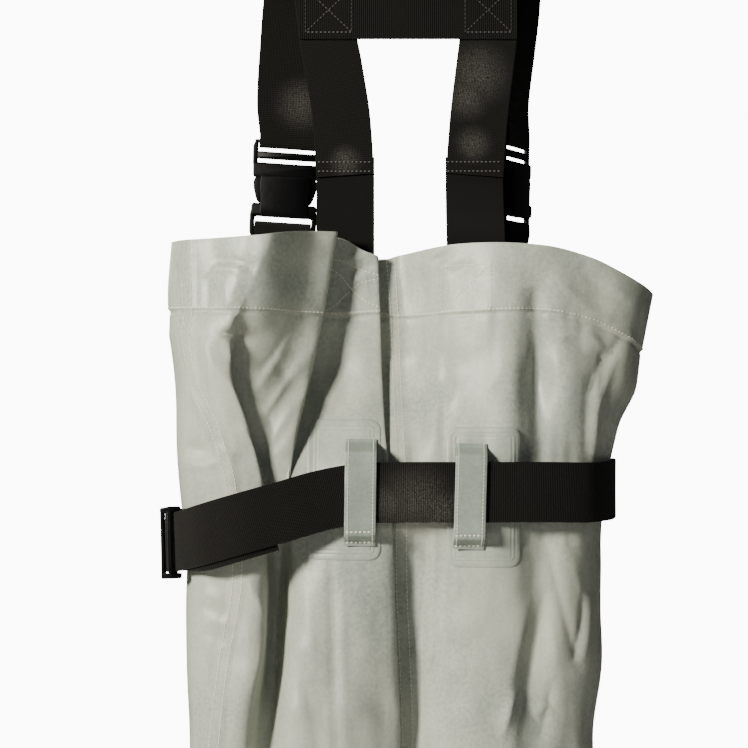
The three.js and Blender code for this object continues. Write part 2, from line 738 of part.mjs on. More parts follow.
/** A side-release buckle's plug: two bars with slots, a bridge, and two side prongs. */
function bucklePlug() {
  const frame = plate(-HALF_BUCKLE, PLUG_END + BAR, BUCKLE_WIDTH, BAR_THICK);
  const from = -HALF_BUCKLE + BAR;
  let made = frame.subtract(slotCut(from, from + SLOT));
  made = made.subtract(slotCut(from + SLOT + BAR, from + 2 * SLOT + BAR));
  const prongLength = PRONG_REACH - PLUG_END;
  for (const side of [-1, 1]) {
    const y = side * (POCKET_WIDE / 2 - 2 * GAP - PRONG_WIDE / 2);
    const at = [PLUG_END + prongLength / 2, y, 0];
    made = made.add(solid(block(prongLength, PRONG_WIDE, MOUTH_THICK - 2, at)));
  }
  return geometryOf(made);
}

/** The buckle's socket: a flat box with a mouth, side windows, and a bar with a slot. */
function buckleSocket() {
  const mouth = PLUG_END + BAR + GAP;
  const boxEnd = HALF_BUCKLE - BAR - SLOT;
  const box = plate(mouth, boxEnd, BUCKLE_WIDTH - 2, BUCKLE_THICK);
  const tail = plate(boxEnd - BAR, HALF_BUCKLE, BUCKLE_WIDTH, BAR_THICK);
  const pocketEnd = boxEnd - BAR;
  const pocket = block(
    pocketEnd - mouth + BAR,
    POCKET_WIDE,
    MOUTH_THICK,
    [(mouth - BAR + pocketEnd) / 2, 0, 0],
  );
  const windowLong = 0.24 * BUCKLE_LENGTH;
  let made = box.add(tail).subtract(solid(pocket));
  made = made.subtract(slotCut(boxEnd, boxEnd + SLOT));
  for (const side of [-1, 1]) {
    const at = [mouth + BAR + windowLong / 2, (side * BUCKLE_WIDTH) / 2, 0];
    made = made.subtract(solid(block(windowLong, 3.2 * BAR, 2 * BUCKLE_THICK, at)));
  }
  return geometryOf(made);
}

/** The belt's slide: three bars between two rails, the middle bar on the body's side. */
function slide() {
  const rise = WEBBING_THICK / 2 + 2 * GAP;
  const rail = 2 * rise + 2 * BAR_THICK;
  const whole = plate(-SLIDE_LENGTH / 2, SLIDE_LENGTH / 2, BUCKLE_WIDTH, rail);
  const clear = SLIDE_LENGTH + 1;
  const web = block(clear, SLOT_WIDTH, 2 * rise, [0, 0, 0]);
  const below = block(clear, SLOT_WIDTH, rail, [0, 0, -rail / 2]);
  const above = block(clear, SLOT_WIDTH, rail, [0, 0, rail / 2]);
  const middle = block(BAR, SLOT_WIDTH, rail, [0, 0, 0]);
  const ends = block(SLIDE_LENGTH - 2 * BAR, SLOT_WIDTH, 2 * rail, [0, 0, 0]);
  const underCut = solid(below).subtract(solid(middle));
  const aboveCut = solid(above).intersect(solid(ends));
  return geometryOf(whole.subtract(solid(web)).subtract(underCut).subtract(aboveCut));
}

/**
 * Stations of webbing that passes a bar, turns round it through the slot, and comes back.
 * `slotSide` says on which side of the bar its slot is, and `from` is -1 where the webbing
 * comes along the back of the bar and 1 where it comes along its front.
 */
function roundBar(frame, barX, slotSide, from) {
  const { at, way, out, across } = frame;
  const off = BAR_THICK / 2 + GAP + WEBBING_THICK / 2;
  const spot = (x, z) => ({
    at: at.clone().addScaledVector(way, x).addScaledVector(out, from * z),
    across,
  });
  const end = barX - slotSide * (BAR / 2 + TURNED_BACK);
  const edge = barX + slotSide * (BAR / 2);
  const bend = [1, 0.5, 0, -0.5, -1].map((share) => {
    const angle = (share * Math.PI) / 2;
    return spot(edge + slotSide * off * Math.cos(angle), off * Math.sin(angle));
  });
  const close = off - WEBBING_THICK - GAP;
  return [
    spot(barX - slotSide * BAR, off),
    ...bend,
    spot(barX - slotSide * BAR, -off),
    spot(lerp(end, barX, 0.5), lerp(close, -off, 0.3)),
    spot(end, close),
  ];
}

// The belt's own places: its buckle in the middle of the front, and the slide at the left side
const beltBuckleShare = beltShareNear(0, HALF_DEPTH);
const beltSlideShare = beltShareNear(-HALF_WIDTH * 0.97, -HALF_DEPTH * 0.36);
const onBeltBuckle = (() => {
  const frame = beltAt(beltBuckleShare);
  const off = BAR_THICK / 2 + GAP + WEBBING_THICK / 2;
  return { ...frame, at: frame.at.clone().addScaledVector(frame.out, off) };
})();
const bucklePlugBar = -HALF_BUCKLE + BAR / 2;
const buckleSocketBar = HALF_BUCKLE - BAR / 2;

const buckleClear = (HALF_BUCKLE + BAR) / beltLength;
const beltShare = (step) =>
  beltBuckleShare + buckleClear + ((1 - 2 * buckleClear) * step) / BELT_STEPS;

/** The belt: webbing from the buckle's socket, round the body, to its plug. */
function belt() {
  const stations = roundBar(onBeltBuckle, buckleSocketBar, -1, -1).reverse();
  for (let i = 0; i <= BELT_STEPS; i++) stations.push(beltAt(beltShare(i)));
  stations.push(...roundBar(onBeltBuckle, bucklePlugBar, 1, -1));
  return ribbon(stations, WEBBING, WEBBING_THICK);
}

/** The belt's doubled end, which lies behind it from the slide on, a little lower. */
function beltTail() {
  const stations = [];
  const slideClear = (SLIDE_LENGTH / 2 + BAR) / beltLength;
  for (let i = 0; i <= BELT_STEPS; i++) {
    const back = beltSlideShare + 1 - slideClear - beltShare(i);
    if (back < 0 || back * beltLength > BELT_TAIL) continue;
    const frame = beltAt(beltShare(i));
    const at = frame.at.clone().addScaledVector(frame.out, -WEBBING_THICK - 2 * GAP);
    const low = ease((3 * back * beltLength) / BELT_TAIL);
    stations.push({ at: at.addScaledVector(frame.across, BAR * low), across: frame.across });
  }
  return ribbon(stations, WEBBING, WEBBING_THICK);
}

// The belt loops and their patches, each a pair: the place across the back and the loop's height
const LOOPS = [
  { side: "left", x: -0.165, z: 0, patchX: -0.235, patchZ: 2 },
  { side: "right", x: 0.29, z: -3, patchX: 0.35, patchZ: -4 },
];

/** A belt loop: a strip sewn down above and below the belt, and passing over it. */
function beltLoop(mesh, x, z) {
  const belted = beltAt(beltShareNear(x, -HALF_DEPTH * 1.05)).at;
  const outside = belted.y - WEBBING_THICK / 2 - 3 * GAP - LOOP_THICK / 2;
  const shares = [0.5, 0.46, 0.41, 0.37, 0.19];
  const all = [...shares, 0, ...shares.map((share) => -share).reverse()];
  const stations = all.map((share) => {
    const height = z + share * LOOP_LENGTH;
    const across = [-0.8, -0.5, -0.3, -0.1, 0.1, 0.3, 0.5, 0.8];
    const faces = across.map((share) => backSurface(mesh, x + share * LOOP_WIDTH, height));
    const sewn = Math.min(...faces) - 4 * GAP - PATCH_THICK - LOOP_THICK / 2;
    const over = ease((0.46 - Math.abs(share)) / 0.09);
    return { at: new THREE.Vector3(x, lerp(sewn, outside, over), height), across: ACROSS };
  });
  return ribbon(stations, LOOP_WIDTH, LOOP_THICK);
}

// The shoulder straps, from their seams on the back webbing over the shoulders to the buckles.
// x and y are shares of half the width and depth, `rise` of STRAP_RISE, and `turn` is in degrees.
const STRAPS = [
  {
    side: "left",
    buckle: { x: -0.505, y: 0.56, turn: 4 },
    path: [
      { x: -0.232, y: -0.13, rise: 0.28, turn: 0 },
      { x: -0.25, y: -0.09, rise: 0.45, turn: 0 },
      { x: -0.285, y: -0.06, rise: 0.62, turn: 0 },
      { x: -0.305, y: -0.05, rise: 0.7, turn: 0 },
      { x: -0.335, y: -0.045, rise: 0.88, turn: 0 },
      { x: -0.36, y: 0.02, rise: 0.955, turn: 6 },
      { x: -0.4, y: 0.2, rise: 1, turn: 12 },
      { x: -0.44, y: 0.37, rise: 0.955, turn: 10 },
      { x: -0.47, y: 0.45, rise: 0.87, turn: 8 },
      { x: -0.49, y: 0.5, rise: 0.7, turn: 5 },
      { x: -0.503, y: 0.53, rise: 0.52, turn: 4 },
    ],
  },
  {
    side: "right",
    buckle: { x: 0.515, y: 0.37, turn: 65 },
    path: [
      { x: 0.325, y: -0.15, rise: 0.28, turn: 0 },
      { x: 0.345, y: -0.1, rise: 0.45, turn: 0 },
      { x: 0.372, y: -0.06, rise: 0.62, turn: 0 },
      { x: 0.385, y: -0.05, rise: 0.7, turn: 0 },
      { x: 0.4, y: -0.045, rise: 0.88, turn: 0 },
      { x: 0.42, y: 0.02, rise: 0.955, turn: -4 },
      { x: 0.46, y: 0.2, rise: 0.995, turn: -2 },
      { x: 0.5, y: 0.32, rise: 0.95, turn: 8 },
      { x: 0.515, y: 0.37, rise: 0.86, turn: 24 },
      { x: 0.52, y: 0.38, rise: 0.7, turn: 45 },
      { x: 0.517, y: 0.37, rise: 0.52, turn: 60 },
    ],
  },
];
const turned = (degrees) => ACROSS.clone().applyAxisAngle(UP, (degrees * Math.PI) / 180);

/** The frame of a strap's buckle: its long way runs down, and it faces forwards. */
function strapBuckleFrame({ x, y, turn }) {
  const across = turned(turn).negate();
  const way = UP.clone().negate();
  const out = new THREE.Vector3().crossVectors(way, across);
  const at = new THREE.Vector3(x * HALF_WIDTH, y * HALF_DEPTH, BIB_TOP + BUCKLE_RISE);
  return { at, way, out, across };
}

/** The elastic of a shoulder strap, turned back on itself round the plug's bar. */
function shoulderStrap({ path, buckle }) {
  const stations = path.map(({ x, y, rise, turn }) => {
    const z = BIB_TOP + rise * STRAP_RISE;
    return { at: new THREE.Vector3(x * HALF_WIDTH, y * HALF_DEPTH, z), across: turned(turn) };
  });
  stations[0].at.z = BIB_TOP + BACK_WEBBING_RISE - STRAP_SEAM;
  const end = roundBar(strapBuckleFrame(buckle), bucklePlugBar, 1, -1).map(({ at, across }) => {
    return { at, across: across.clone().negate() };
  });
  return ribbon([...stations, ...end], WEBBING, WEBBING_THICK);
}

/** The y at which webbing centred at x lies flat against the inside of the back's hem. */
function insideBack(mesh, x) {
  const depths = [-0.5, -0.4, -0.3, -0.2, -0.1, 0, 0.1, 0.2, 0.3, 0.4, 0.5].flatMap((share) =>
    [0.1, 0.5, 0.9].map((down) =>
      backSurface(mesh, x + share * WEBBING, BIB_TOP - down * TAB_INSIDE),
    ),
  );
  return Math.max(...depths) + 2 * FABRIC + 2 * GAP + WEBBING_THICK / 2;
}

/** The smooth webbing between the hem's inside and a shoulder strap's elastic. */
function backWebbing(mesh, { path: [top, second] }) {
  const x = top.x * HALF_WIDTH;
  const inside = insideBack(mesh, x);
  const topZ = BIB_TOP + BACK_WEBBING_RISE;
  const seamZ = topZ - STRAP_SEAM;
  const lean = (second.y - top.y) * HALF_DEPTH;
  const run = BIB_TOP + second.rise * STRAP_RISE - seamZ;
  const y = top.y * HALF_DEPTH + WEBBING_THICK + 2 * GAP;
  const spot = (share, z) => ({
    at: new THREE.Vector3(x, lerp(inside, y, share) + Math.max(0, (lean * (z - seamZ)) / run), z),
    across: ACROSS,
  });
  const stations = [
    spot(0, BIB_TOP - TAB_INSIDE),
    spot(0, BIB_TOP - TAB_INSIDE / 2),
    spot(0.12, BIB_TOP + 0.1 * BACK_WEBBING_RISE),
    spot(0.7, BIB_TOP + 0.45 * BACK_WEBBING_RISE),
    spot(1, seamZ - STRAP_SEAM / 2),
    spot(1, seamZ),
    spot(1, topZ),
  ];
  return ribbon(stations, WEBBING, WEBBING_THICK);
}

/** The webbing of a front tab, from round the socket's bar to inside the front hem. */
function frontTab({ buckle }) {
  const x = buckle.x * HALF_WIDTH;
  const low = BIB_TOP - TAB_INSIDE;
  const widths = [-0.5, -0.25, 0, 0.25, 0.5].map((share) => x + share * WEBBING);
  const walls = widths.flatMap((at) => [low, BIB_TOP].map((z) => frontFaceY(at, z)));
  const inside = Math.min(...walls) - 2 * FABRIC - 2 * GAP - WEBBING_THICK / 2;
  const bar = roundBar(strapBuckleFrame(buckle), buckleSocketBar, -1, 1).map((station) => {
    return { at: station.at, across: station.across.clone().negate() };
  });
  const start = bar[0].at;
  const spot = (share, z) => {
    const turn = buckle.turn * share;
    const swing = (WEBBING / 2) * Math.sin((turn * Math.PI) / 180);
    const y = lerp(inside - swing, start.y, ease(share));
    return { at: new THREE.Vector3(lerp(x, start.x, share), y, z), across: turned(turn) };
  };
  const stations = [
    spot(0, low),
    spot(0.12, low + 0.3 * TAB_INSIDE),
    spot(0.4, low + 0.6 * TAB_INSIDE),
    spot(0.75, low + 0.9 * TAB_INSIDE),
    spot(1, low + 1.15 * TAB_INSIDE),
  ];
  return ribbon([...stations, ...bar], WEBBING, WEBBING_THICK);
}

/** The y of the front's outer face at an x and a height. */
function frontFaceY(x, z) {
  const down = (BIB_TOP - z) / BODY_LENGTH;
  const { middle, half } = outlineAt(down);
  return frontPoint(Math.acos(Math.max(-1, Math.min(1, (x - middle) / half))) / Math.PI, down).y;
}

/** The band of webbing across the back that joins the two shoulder straps. */
function yokeBand() {
  const [left, right] = STRAPS.map(({ path }) => path[3]);
  const y = left.y * HALF_DEPTH - WEBBING_THICK - 2 * GAP;
  const spot = (x) => ({ at: new THREE.Vector3(x, y, BIB_TOP + YOKE_RISE), across: UP });
  const from = left.x * HALF_WIDTH - WEBBING / 2;
  const to = right.x * HALF_WIDTH + WEBBING / 2;
  return ribbon([spot(from), spot(lerp(from, to, 0.5)), spot(to)], YOKE_HEIGHT, WEBBING_THICK);
}

const group = new THREE.Group();
const finish = (color, roughness, metalness = 0) =>
  new THREE.MeshStandardMaterial({ color, roughness, metalness });
const FINISHES = {
  nylon: finish(0xa9ada3, 0.45),
  patch: finish(0xa3aba2, 0.5),
  loop: finish(0x94a09a, 0.4),
  webbing: finish(0x1c1b18, 0.85),
  elastic: finish(0x22211e, 0.9),
  plastic: finish(0x121214, 0.35),
  boot: finish(0x1d1f1e, 0.4),
  sole: finish(0x262724, 0.7),
  insole: finish(0x5a5d5a, 0.9),
};

function place(name, geometry, material) {
  const mesh = new THREE.Mesh(geometry, material);
  mesh.name = name;
  group.add(mesh);
}

place("wader_body", wader(waderFace()), FINISHES.nylon);
const bodyMesh = group.children[0];

// The boots. A right boot is worked out about its own centre line, and the left is its mirror.
// `out` and `in` say how full its outline is on the outer and inner side, beside an oval.
const FULLNESS = [
  { along: 0, out: 1.25, in: 1.25 },
  { along: 0.08, out: 1.12, in: 1.12 },
  { along: 0.16, out: 0.92, in: 0.92 },
  { along: 0.26, out: 0.8, in: 0.73 },
  { along: 0.4, out: 0.76, in: 0.63 },
  { along: 0.5, out: 0.84, in: 0.68 },
  { along: 0.6, out: 0.97, in: 0.84 },
  { along: 0.7, out: 1.08, in: 1.05 },
  { along: 0.8, out: 1.17, in: 1.24 },
  { along: 0.9, out: 1.22, in: 1.46 },
  { along: 1, out: 1.12, in: 1.56 },
];
const TOE_SWING = 7; // how far the toe turns in from the boot's centre line
const BOOT_COLUMNS = 26;
const HALF_BALL = BALL_WIDTH / 2;
const HEEL_Y = -HEEL_OVERHANG + RIM_WALL;
const TOE_Y = SOLE_LENGTH - HEEL_OVERHANG - RIM_WALL;

/** The top of the sole under the foot at a y, in mm above the floor. */
const SEAT = [
  { y: HEEL_Y, z: HEEL_SEAT },
  { y: lerp(HEEL_Y, TOE_Y, 0.2), z: HEEL_SEAT },
  { y: lerp(HEEL_Y, TOE_Y, 0.45), z: lerp(BALL_SEAT, HEEL_SEAT, 0.35) },
  { y: lerp(HEEL_Y, TOE_Y, 0.66), z: BALL_SEAT },
  { y: lerp(HEEL_Y, TOE_Y, 0.82), z: lerp(BALL_SEAT, TOE_SEAT, 0.3) },
  { y: TOE_Y, z: TOE_SEAT },
];
const seatHeight = column(SEAT, "y", "z");

// Rings of the boot's upper, from above the sole's rim to the top. `heel` and `toe` are how far
// the ring's back and front stand in from the sole's ends, in shares of its length, with their
// heights in shares of the boot's; `half` is of the ball's half width, and `foot` is 1 where the
// ring has the foot's outline and 0 where it is the shaft's oval.
const UPPER = [
  { heel: -0.008, toe: -0.01, heelZ: 0.2, toeZ: 0.165, half: 1.01, foot: 1 },
  { heel: -0.002, toe: 0.03, heelZ: 0.232, toeZ: 0.198, half: 0.95, foot: 1 },
  { heel: 0.008, toe: 0.11, heelZ: 0.262, toeZ: 0.228, half: 0.865, foot: 0.95 },
  { heel: 0.018, toe: 0.215, heelZ: 0.3, toeZ: 0.268, half: 0.79, foot: 0.85 },
  { heel: 0.026, toe: 0.315, heelZ: 0.344, toeZ: 0.33, half: 0.76, foot: 0.6 },
  { heel: 0.034, toe: 0.395, heelZ: 0.395, toeZ: 0.41, half: 0.77, foot: 0.35 },
  { heel: 0.038, toe: 0.445, heelZ: 0.47, toeZ: 0.51, half: 0.83, foot: 0.12 },
  { heel: 0.04, toe: 0.475, heelZ: 0.58, toeZ: 0.62, half: 0.95, foot: 0 },
];

/** One ring of the boot's upper, grown outwards by grow. */
function bootRing({ heelY, toeY, half, foot, height }, grow = 0) {
  const ring = [];
  for (let k = 0; k < BOOT_COLUMNS; k++) {
    const phase = (k / BOOT_COLUMNS) * 2 * Math.PI;
    const along = (1 - Math.cos(phase)) / 2;
    const side = Math.sin(phase) >= 0 ? "out" : "in";
    const full = lerp(1, column(FULLNESS, "along", side)(along), foot);
    const y = lerp(heelY, toeY, along);
    const x = half * Math.sin(phase) * full - TOE_SWING * foot * ease((along - 0.4) / 0.6);
    ring.push(new THREE.Vector3(x, y, height(along, y)));
  }
  return ring.map((point, k) => {
    const before = ring[(k + BOOT_COLUMNS - 1) % BOOT_COLUMNS];
    const after = ring[(k + 1) % BOOT_COLUMNS];
    const way = new THREE.Vector2(after.x - before.x, after.y - before.y).normalize();
    return new THREE.Vector3(point.x + way.y * grow, point.y - way.x * grow, point.z);
  });
}

/** The rings of the boot's upper, from the sole up, grown by grow. */
function bootRings(grow) {
  const low = [GAP, RIM_HEIGHT].map((rise) => ({
    heelY: HEEL_Y,
    toeY: TOE_Y,
    half: HALF_BALL,
    foot: 1,
    height: (along, y) => seatHeight(y) + rise,
  }));
  const mid = UPPER.map(({ heel, toe, heelZ, toeZ, half, foot }) => ({
    heelY: HEEL_Y + heel * SOLE_LENGTH,
    toeY: TOE_Y - toe * SOLE_LENGTH,
    half: lerp((half * SHAFT_WIDTH) / 2, half * HALF_BALL, foot),
    foot,
    height: (along) => lerp(heelZ, toeZ, along) * BOOT_TOP,
  }));
  const shaft = [CUFF_LOW - 8, BOOT_TOP].map((z) => ({
    heelY: -SHAFT_DEPTH / 2,
    toeY: SHAFT_DEPTH / 2,
    half: SHAFT_WIDTH / 2,
    foot: 0,
    height: () => z,
  }));
  return [...low, ...mid, ...shaft].map((ring) => bootRing(ring, grow));
}

/** The boot's upper: one wall, open at the top and above the sole. */
function bootUpper() {
  const outer = bootRings(0);
  const inner = bootRings(-BOOT_WALL);
  const walls = [];
  for (let k = 0; k < BOOT_COLUMNS; k++) {
    walls.push([...outer.map((ring) => ring[k]), ...inner.map((ring) => ring[k]).reverse()]);
  }
  return loft(walls, true);
}

/** The foot's outline at the sole, as [x, y] points, grown by grow. */
function footOutline(grow) {
  const flat = { heelY: HEEL_Y, toeY: TOE_Y, half: HALF_BALL, foot: 1, height: () => 0 };
  return bootRing(flat, grow).map(({ x, y }) => [x, y]);
}

/** The points of the sole's top line, raised by rise, from heel to toe and beyond both. */
function seatLine(rise) {
  const line = [];
  const count = 10;
  for (let i = 0; i <= count; i++) {
    const y = lerp(HEEL_Y, TOE_Y, i / count);
    line.push([y, seatHeight(y) + rise]);
  }
  const beyond = 20;
  return [
    [HEEL_Y - beyond, line[0][1]],
    ...line,
    [TOE_Y + beyond, line.at(-1)[1]],
  ];
}

/** A chevron groove across the sole, its point towards the toe. */
function groove(y) {
  const [wing, sweep] = [BALL_WIDTH, 0.28 * BALL_WIDTH];
  const outline = [
    [-wing, y - sweep], [0, y], [wing, y - sweep],
    [wing, y - sweep + LUG_GROOVE], [0, y + LUG_GROOVE], [-wing, y - sweep + LUG_GROOVE],
  ];
  return solid(prism(outline, -1, LUG_DEPTH));
}

/** The outsole: heel, arch and forefoot with chevron lugs, and a rim around the upper. */
function outsole() {
  const ends = { heel: HEEL_Y - RIM_WALL, toe: TOE_Y + RIM_WALL };
  const heelBreast = lerp(ends.heel, ends.toe, 0.235);
  const treadBack = lerp(ends.heel, ends.toe, 0.44);
  const springStart = lerp(ends.heel, ends.toe, 0.8);
  const underside = [
    [ends.toe + 10, TOE_SPRING * 1.3],
    [ends.toe - 8, TOE_SPRING * 0.72],
    [springStart + 0.55 * (ends.toe - springStart), TOE_SPRING * 0.32],
    [springStart, 0],
    [treadBack + 6, 0],
    [treadBack, ARCH_RISE * 0.75],
    [lerp(heelBreast, treadBack, 0.5), ARCH_RISE],
    [heelBreast + 4, ARCH_RISE],
    [heelBreast, 0],
    [ends.heel + 10, 0],
    [ends.heel + 2, 2],
    [ends.heel - 10, 2],
  ];
  const half = BALL_WIDTH;
  const whole = solid(prism(footOutline(RIM_WALL), -1, BOOT_TOP / 2));
  const sideCut = solid(crossPrism([...seatLine(RIM_HEIGHT), ...underside], half));
  const hollow = solid(prism(footOutline(GAP), -1, BOOT_TOP / 2)).intersect(
    solid(crossPrism([...seatLine(0), [TOE_Y + 20, BOOT_TOP], [HEEL_Y - 20, BOOT_TOP]], half)),
  );
  let made = whole.intersect(sideCut).subtract(hollow);
  const recess = solid(prism(footOutline(RIM_WALL * 2), -1, HEEL_SEAT + RIM_HEIGHT)).subtract(
    solid(prism(footOutline(RIM_WALL * 0.4), -2, HEEL_SEAT + RIM_HEIGHT + 1)),
  );
  const waistLine = [...seatLine(-5), ...seatLine(-8).reverse()];
  made = made.subtract(recess.intersect(solid(crossPrism(waistLine, half))));
  for (let y = treadBack + 2 * LUG_PITCH; y < ends.toe + LUG_PITCH; y += LUG_PITCH) {
    made = made.subtract(groove(y));
  }
  for (const share of [0.4, 0.85]) {
    made = made.subtract(groove(lerp(ends.heel, heelBreast, share)));
  }
  return geometryOf(made);
}

/** The insole: a sheet that lies on the sole, inside the upper. */
function insole() {
  const outline = footOutline(-BOOT_WALL - 2 * GAP);
  const sheet = [...seatLine(GAP + INSOLE_THICK), ...seatLine(GAP).reverse()];
  const made = solid(prism(outline, 0, BOOT_TOP)).intersect(
    solid(crossPrism(sheet, BALL_WIDTH)),
  );
  return geometryOf(made);
}

/** A copy of a right boot's piece for one side, mirrored for the left. */
function onSide(geometry, side) {
  const placed = geometry.clone().applyMatrix4(new THREE.Matrix4().makeScale(side, 1, 1));
  placed.translate(side * BOOT_X, 0, 0);
  if (side > 0) return placed;
  const index = placed.index.array;
  for (let i = 0; i < index.length; i += 3) {
    [index[i + 1], index[i + 2]] = [index[i + 2], index[i + 1]];
  }
  return placed;
}

const rightBoot = { upper: bootUpper(), outsole: outsole(), insole: insole() };
for (const [word, side] of [["left", -1], ["right", 1]]) {
  place(`boot_upper_${word}`, onSide(rightBoot.upper, side), FINISHES.boot);
  place(`outsole_${word}`, onSide(rightBoot.outsole, side), FINISHES.sole);
  place(`insole_${word}`, onSide(rightBoot.insole, side), FINISHES.insole);
}

place("belt", belt(), FINISHES.webbing);
place("belt_tail", beltTail(), FINISHES.webbing);
place("belt_slide", seat(slide(), beltAt(beltSlideShare)), FINISHES.plastic);
place("belt_buckle_plug", seat(bucklePlug(), onBeltBuckle), FINISHES.plastic);
place("belt_buckle_socket", seat(buckleSocket(), onBeltBuckle), FINISHES.plastic);
for (const { side, x, z, patchX, patchZ } of LOOPS) {
  const patched = patch(bodyMesh, patchX * HALF_WIDTH, BELT_HEIGHT + patchZ);
  const loop = beltLoop(bodyMesh, x * HALF_WIDTH, BELT_HEIGHT + z);
  place(`loop_patch_${side}`, patched, FINISHES.patch);
  place(`belt_loop_${side}`, loop, FINISHES.loop);
}

for (const strap of STRAPS) {
  const frame = strapBuckleFrame(strap.buckle);
  place(`back_webbing_${strap.side}`, backWebbing(bodyMesh, strap), FINISHES.webbing);
  place(`shoulder_strap_${strap.side}`, shoulderStrap(strap), FINISHES.elastic);
  place(`front_tab_${strap.side}`, frontTab(strap), FINISHES.webbing);
  place(`strap_buckle_plug_${strap.side}`, seat(bucklePlug(), frame), FINISHES.plastic);
  place(`strap_buckle_socket_${strap.side}`, seat(buckleSocket(), frame), FINISHES.plastic);
}
place("yoke_band", yokeBand(), FINISHES.elastic);

const extent = new THREE.Box3().setFromObject(group);
const middle = extent.getCenter(new THREE.Vector3());
group.position.set(-middle.x, -middle.y, -extent.min.z);

export default group;
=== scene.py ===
# %% [markdown]
# # A bootfoot chest wader
#
# The wader hangs empty. Its bib and legs are one bag of coated nylon, its boots are moulded
# rubber, and webbing and elastic hold it up. The side that the camera sees is the wearer's back.
# Every piece is worked out as an array of points from a formula, and set where the CAD model
# has the plain solid that it stands for.

# %% Load the frame
import json

import bpy
import numpy as np
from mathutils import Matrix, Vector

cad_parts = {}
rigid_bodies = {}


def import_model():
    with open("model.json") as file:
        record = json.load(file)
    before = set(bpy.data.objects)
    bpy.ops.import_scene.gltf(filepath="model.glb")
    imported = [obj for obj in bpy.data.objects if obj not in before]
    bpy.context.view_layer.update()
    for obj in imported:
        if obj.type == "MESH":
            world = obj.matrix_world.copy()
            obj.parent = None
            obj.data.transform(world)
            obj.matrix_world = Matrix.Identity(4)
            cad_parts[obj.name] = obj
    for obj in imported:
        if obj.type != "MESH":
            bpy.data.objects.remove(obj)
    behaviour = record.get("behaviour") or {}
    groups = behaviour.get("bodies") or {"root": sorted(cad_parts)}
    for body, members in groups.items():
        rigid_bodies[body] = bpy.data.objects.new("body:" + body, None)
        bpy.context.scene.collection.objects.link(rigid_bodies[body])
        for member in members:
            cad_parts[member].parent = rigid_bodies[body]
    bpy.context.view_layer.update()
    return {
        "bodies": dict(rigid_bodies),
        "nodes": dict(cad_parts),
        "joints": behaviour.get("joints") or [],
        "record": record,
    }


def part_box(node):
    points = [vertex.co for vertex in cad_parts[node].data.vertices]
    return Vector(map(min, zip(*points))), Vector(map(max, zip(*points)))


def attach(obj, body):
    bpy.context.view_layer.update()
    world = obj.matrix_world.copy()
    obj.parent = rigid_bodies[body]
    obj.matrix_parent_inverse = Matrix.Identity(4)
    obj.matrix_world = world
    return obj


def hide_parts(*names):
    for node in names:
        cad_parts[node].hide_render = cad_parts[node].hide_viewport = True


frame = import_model()

# %% [markdown]
# ## Camera, light and floor
#
# The photograph was taken level with the bib from about 1.7 m behind it. A long lens keeps the
# straps nearly parallel. The light is one strong soft lamp on the left and a little above, so
# that folds facing right fall dark. A weak lamp in front, another from the far side and a faint
# room keep those folds from going black. The camera itself sees a bright white room.

# %% Camera
MM = 0.001
camera = bpy.data.objects.new("camera", bpy.data.cameras.new("camera"))
camera.data.sensor_width = 36
camera.data.lens = 98.2
camera.location = (-27.4 * MM, -1833.6 * MM, 1256.7 * MM)
camera.rotation_euler = (np.pi / 2, 0, 0)
bpy.context.scene.collection.objects.link(camera)
bpy.context.scene.camera = camera
print("camera at", tuple(round(n, 3) for n in camera.location))


# %% Colours and nodes
def linear(code, alpha=1.0):
    """A hex sRGB colour as linear light: each channel through the sRGB curve."""
    channels = np.array([int(code[i : i + 2], 16) for i in (1, 3, 5)]) / 255
    bright = ((channels + 0.055) / 1.055) ** 2.4
    return (*np.where(channels > 0.04045, bright, channels / 12.92).tolist(), alpha)


def add(tree, kind, inputs=None, **settings):
    """Adds a node with its settings, and links or sets its inputs by their name or number."""
    node = tree.nodes.new(kind)
    for key, value in settings.items():
        setattr(node, key, value)
    for key, value in (inputs or {}).items():
        if isinstance(value, bpy.types.NodeSocket):
            tree.links.new(value, node.inputs[key])
        else:
            node.inputs[key].default_value = value
    return node


# %% Room, lamps and floor
world = bpy.data.worlds.new("room")
world.use_nodes = True
bpy.context.scene.world = world
room = world.node_tree
room.nodes.clear()
seen = add(room, "ShaderNodeBackground", {"Color": linear("#ffffff"), "Strength": 11.0})
fill = add(room, "ShaderNodeBackground", {"Color": linear("#eef3f6"), "Strength": 0.05})
ray = add(room, "ShaderNodeLightPath")
both = add(room, "ShaderNodeMixShader", {0: ray.outputs["Is Camera Ray"], 1: fill.outputs[0]})
room.links.new(seen.outputs[0], both.inputs[2])
add(room, "ShaderNodeOutputWorld", {"Surface": both.outputs[0]})


def lamp(name, place, aim, size, watts, colour):
    """A square area lamp at a place, turned so that its face looks at aim."""
    data = bpy.data.lights.new(name, "AREA")
    data.size = size
    data.energy = watts
    data.color = linear(colour)[:3]
    light = bpy.data.objects.new(name, data)
    way = np.array(aim) - np.array(place)
    pitch = np.arctan2(-np.hypot(way[0], way[1]), way[2]) + np.pi
    light.location = place
    light.rotation_euler = (np.pi - pitch, 0, np.arctan2(way[1], way[0]) - np.pi / 2)
    bpy.context.scene.collection.objects.link(light)


lamp("key_lamp", (-2.6, -2.4, 2.3), (0, 0, 1.2), 0.7, 400, "#fdf8ea")
lamp("front_lamp", (1.0, -3.4, 1.6), (0, 0, 1.1), 1.6, 6, "#f4f7ff")
lamp("far_lamp", (-1.5, 3.0, 2.3), (0, 0, 1.0), 1.6, 50, "#f4f7ff")

